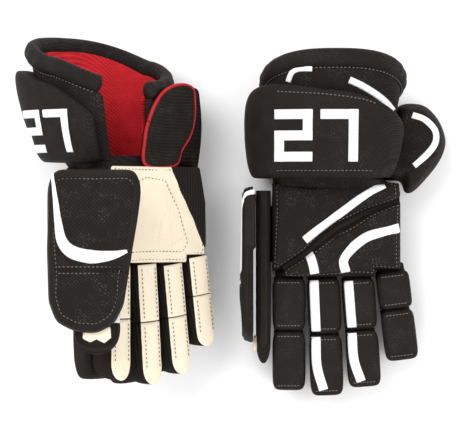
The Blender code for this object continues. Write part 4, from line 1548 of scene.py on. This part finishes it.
def make_floor(scene):
    """A pale floor, a square under the gloves."""
    half = FLOOR_HALF
    corners = [(-half, -half, 0), (half, -half, 0), (half, half, 0), (-half, half, 0)]
    mesh = bpy.data.meshes.new("floor")
    mesh.from_pydata(corners, [], [(0, 1, 2, 3)])
    floor = bpy.data.objects.new("floor", mesh)
    scene.collection.objects.link(floor)
    floor.location.z = FLOOR_Z
    material = bpy.data.materials.new("floor_white")
    material.use_nodes = True
    tree = Tree(material.node_tree)
    surface = material.node_tree.nodes["Principled BSDF"]
    surface.inputs["Roughness"].default_value = 0.9
    mottle = tree.noise(tree.add("ShaderNodeTexCoord").outputs["Object"], 8.0)
    tree.put(surface.inputs["Base Color"], tree.blend(mottle, *FLOOR_SHADES))
    mesh.materials.append(material)


class GLOVES_OT_stage(bpy.types.Operator):
    """Make the white floor, the soft lights and the camera"""

    bl_idname = "gloves.stage"
    bl_label = "Stage"

    def execute(self, context):
        scene = context.scene
        make_floor(scene)
        world = bpy.data.worlds.new("studio")
        scene.world = world
        world.use_nodes = True
        sky = world.node_tree.nodes["Background"]
        sky.inputs["Color"].default_value = (1, 1, 1, 1)
        sky.inputs["Strength"].default_value = SKY_STRENGTH
        for name, place, power, width in LIGHTS:
            light = bpy.data.lights.new(name, "AREA")
            light.energy = power
            light.size = width
            lamp = bpy.data.objects.new(name, light)
            scene.collection.objects.link(lamp)
            lamp.location = place
            lamp.rotation_euler = (-lamp.location).to_track_quat("-Z", "Y").to_euler()

        low, high = CAD_BOX
        middle = (low + high) / 2
        camera = bpy.data.cameras.new("camera")
        camera.lens = SENSOR_WIDTH * CAMERA_DISTANCE / VIEW_WIDTH
        camera.clip_end = 20.0
        eye = bpy.data.objects.new("camera", camera)
        scene.collection.objects.link(eye)
        height = CAMERA_DISTANCE + VIEW_LEVEL
        eye.location = (middle.x + CAMERA_OFFSET[0], middle.y + CAMERA_OFFSET[1], height)
        scene.camera = eye
        scene.view_settings.view_transform = "Standard"
        return {"FINISHED"}


class GLOVES_PT_panel(bpy.types.Panel):
    """Every step of the model, in order"""

    bl_idname = "GLOVES_PT_panel"
    bl_label = "Hockey gloves"
    bl_space_type = "VIEW_3D"
    bl_region_type = "UI"
    bl_category = "Gloves"

    def draw(self, context):
        layout = self.layout
        for group in (context.scene.glove_sizes, context.scene.glove_colours):
            for name in type(group).__annotations__:
                layout.prop(group, name)
        for operator in OPERATORS:
            layout.operator(operator.bl_idname)


OPERATORS = (
    GLOVES_OT_materials,
    GLOVES_OT_hand,
    GLOVES_OT_fingers,
    GLOVES_OT_thumb,
    GLOVES_OT_cuff,
    GLOVES_OT_stage,
)
CLASSES = (GloveSizes, GloveColours, *OPERATORS, GLOVES_PT_panel)


def register():
    for cls in CLASSES:
        bpy.utils.register_class(cls)
    bpy.types.Scene.glove_sizes = PointerProperty(type=GloveSizes)
    bpy.types.Scene.glove_colours = PointerProperty(type=GloveColours)


def unregister():
    del bpy.types.Scene.glove_colours
    del bpy.types.Scene.glove_sizes
    for cls in reversed(CLASSES):
        bpy.utils.unregister_class(cls)


def main():
    register()
    for operator in OPERATORS:
        group, name = operator.bl_idname.split(".")
        getattr(getattr(bpy.ops, group), name)()


if __name__ == "__main__":
    main()
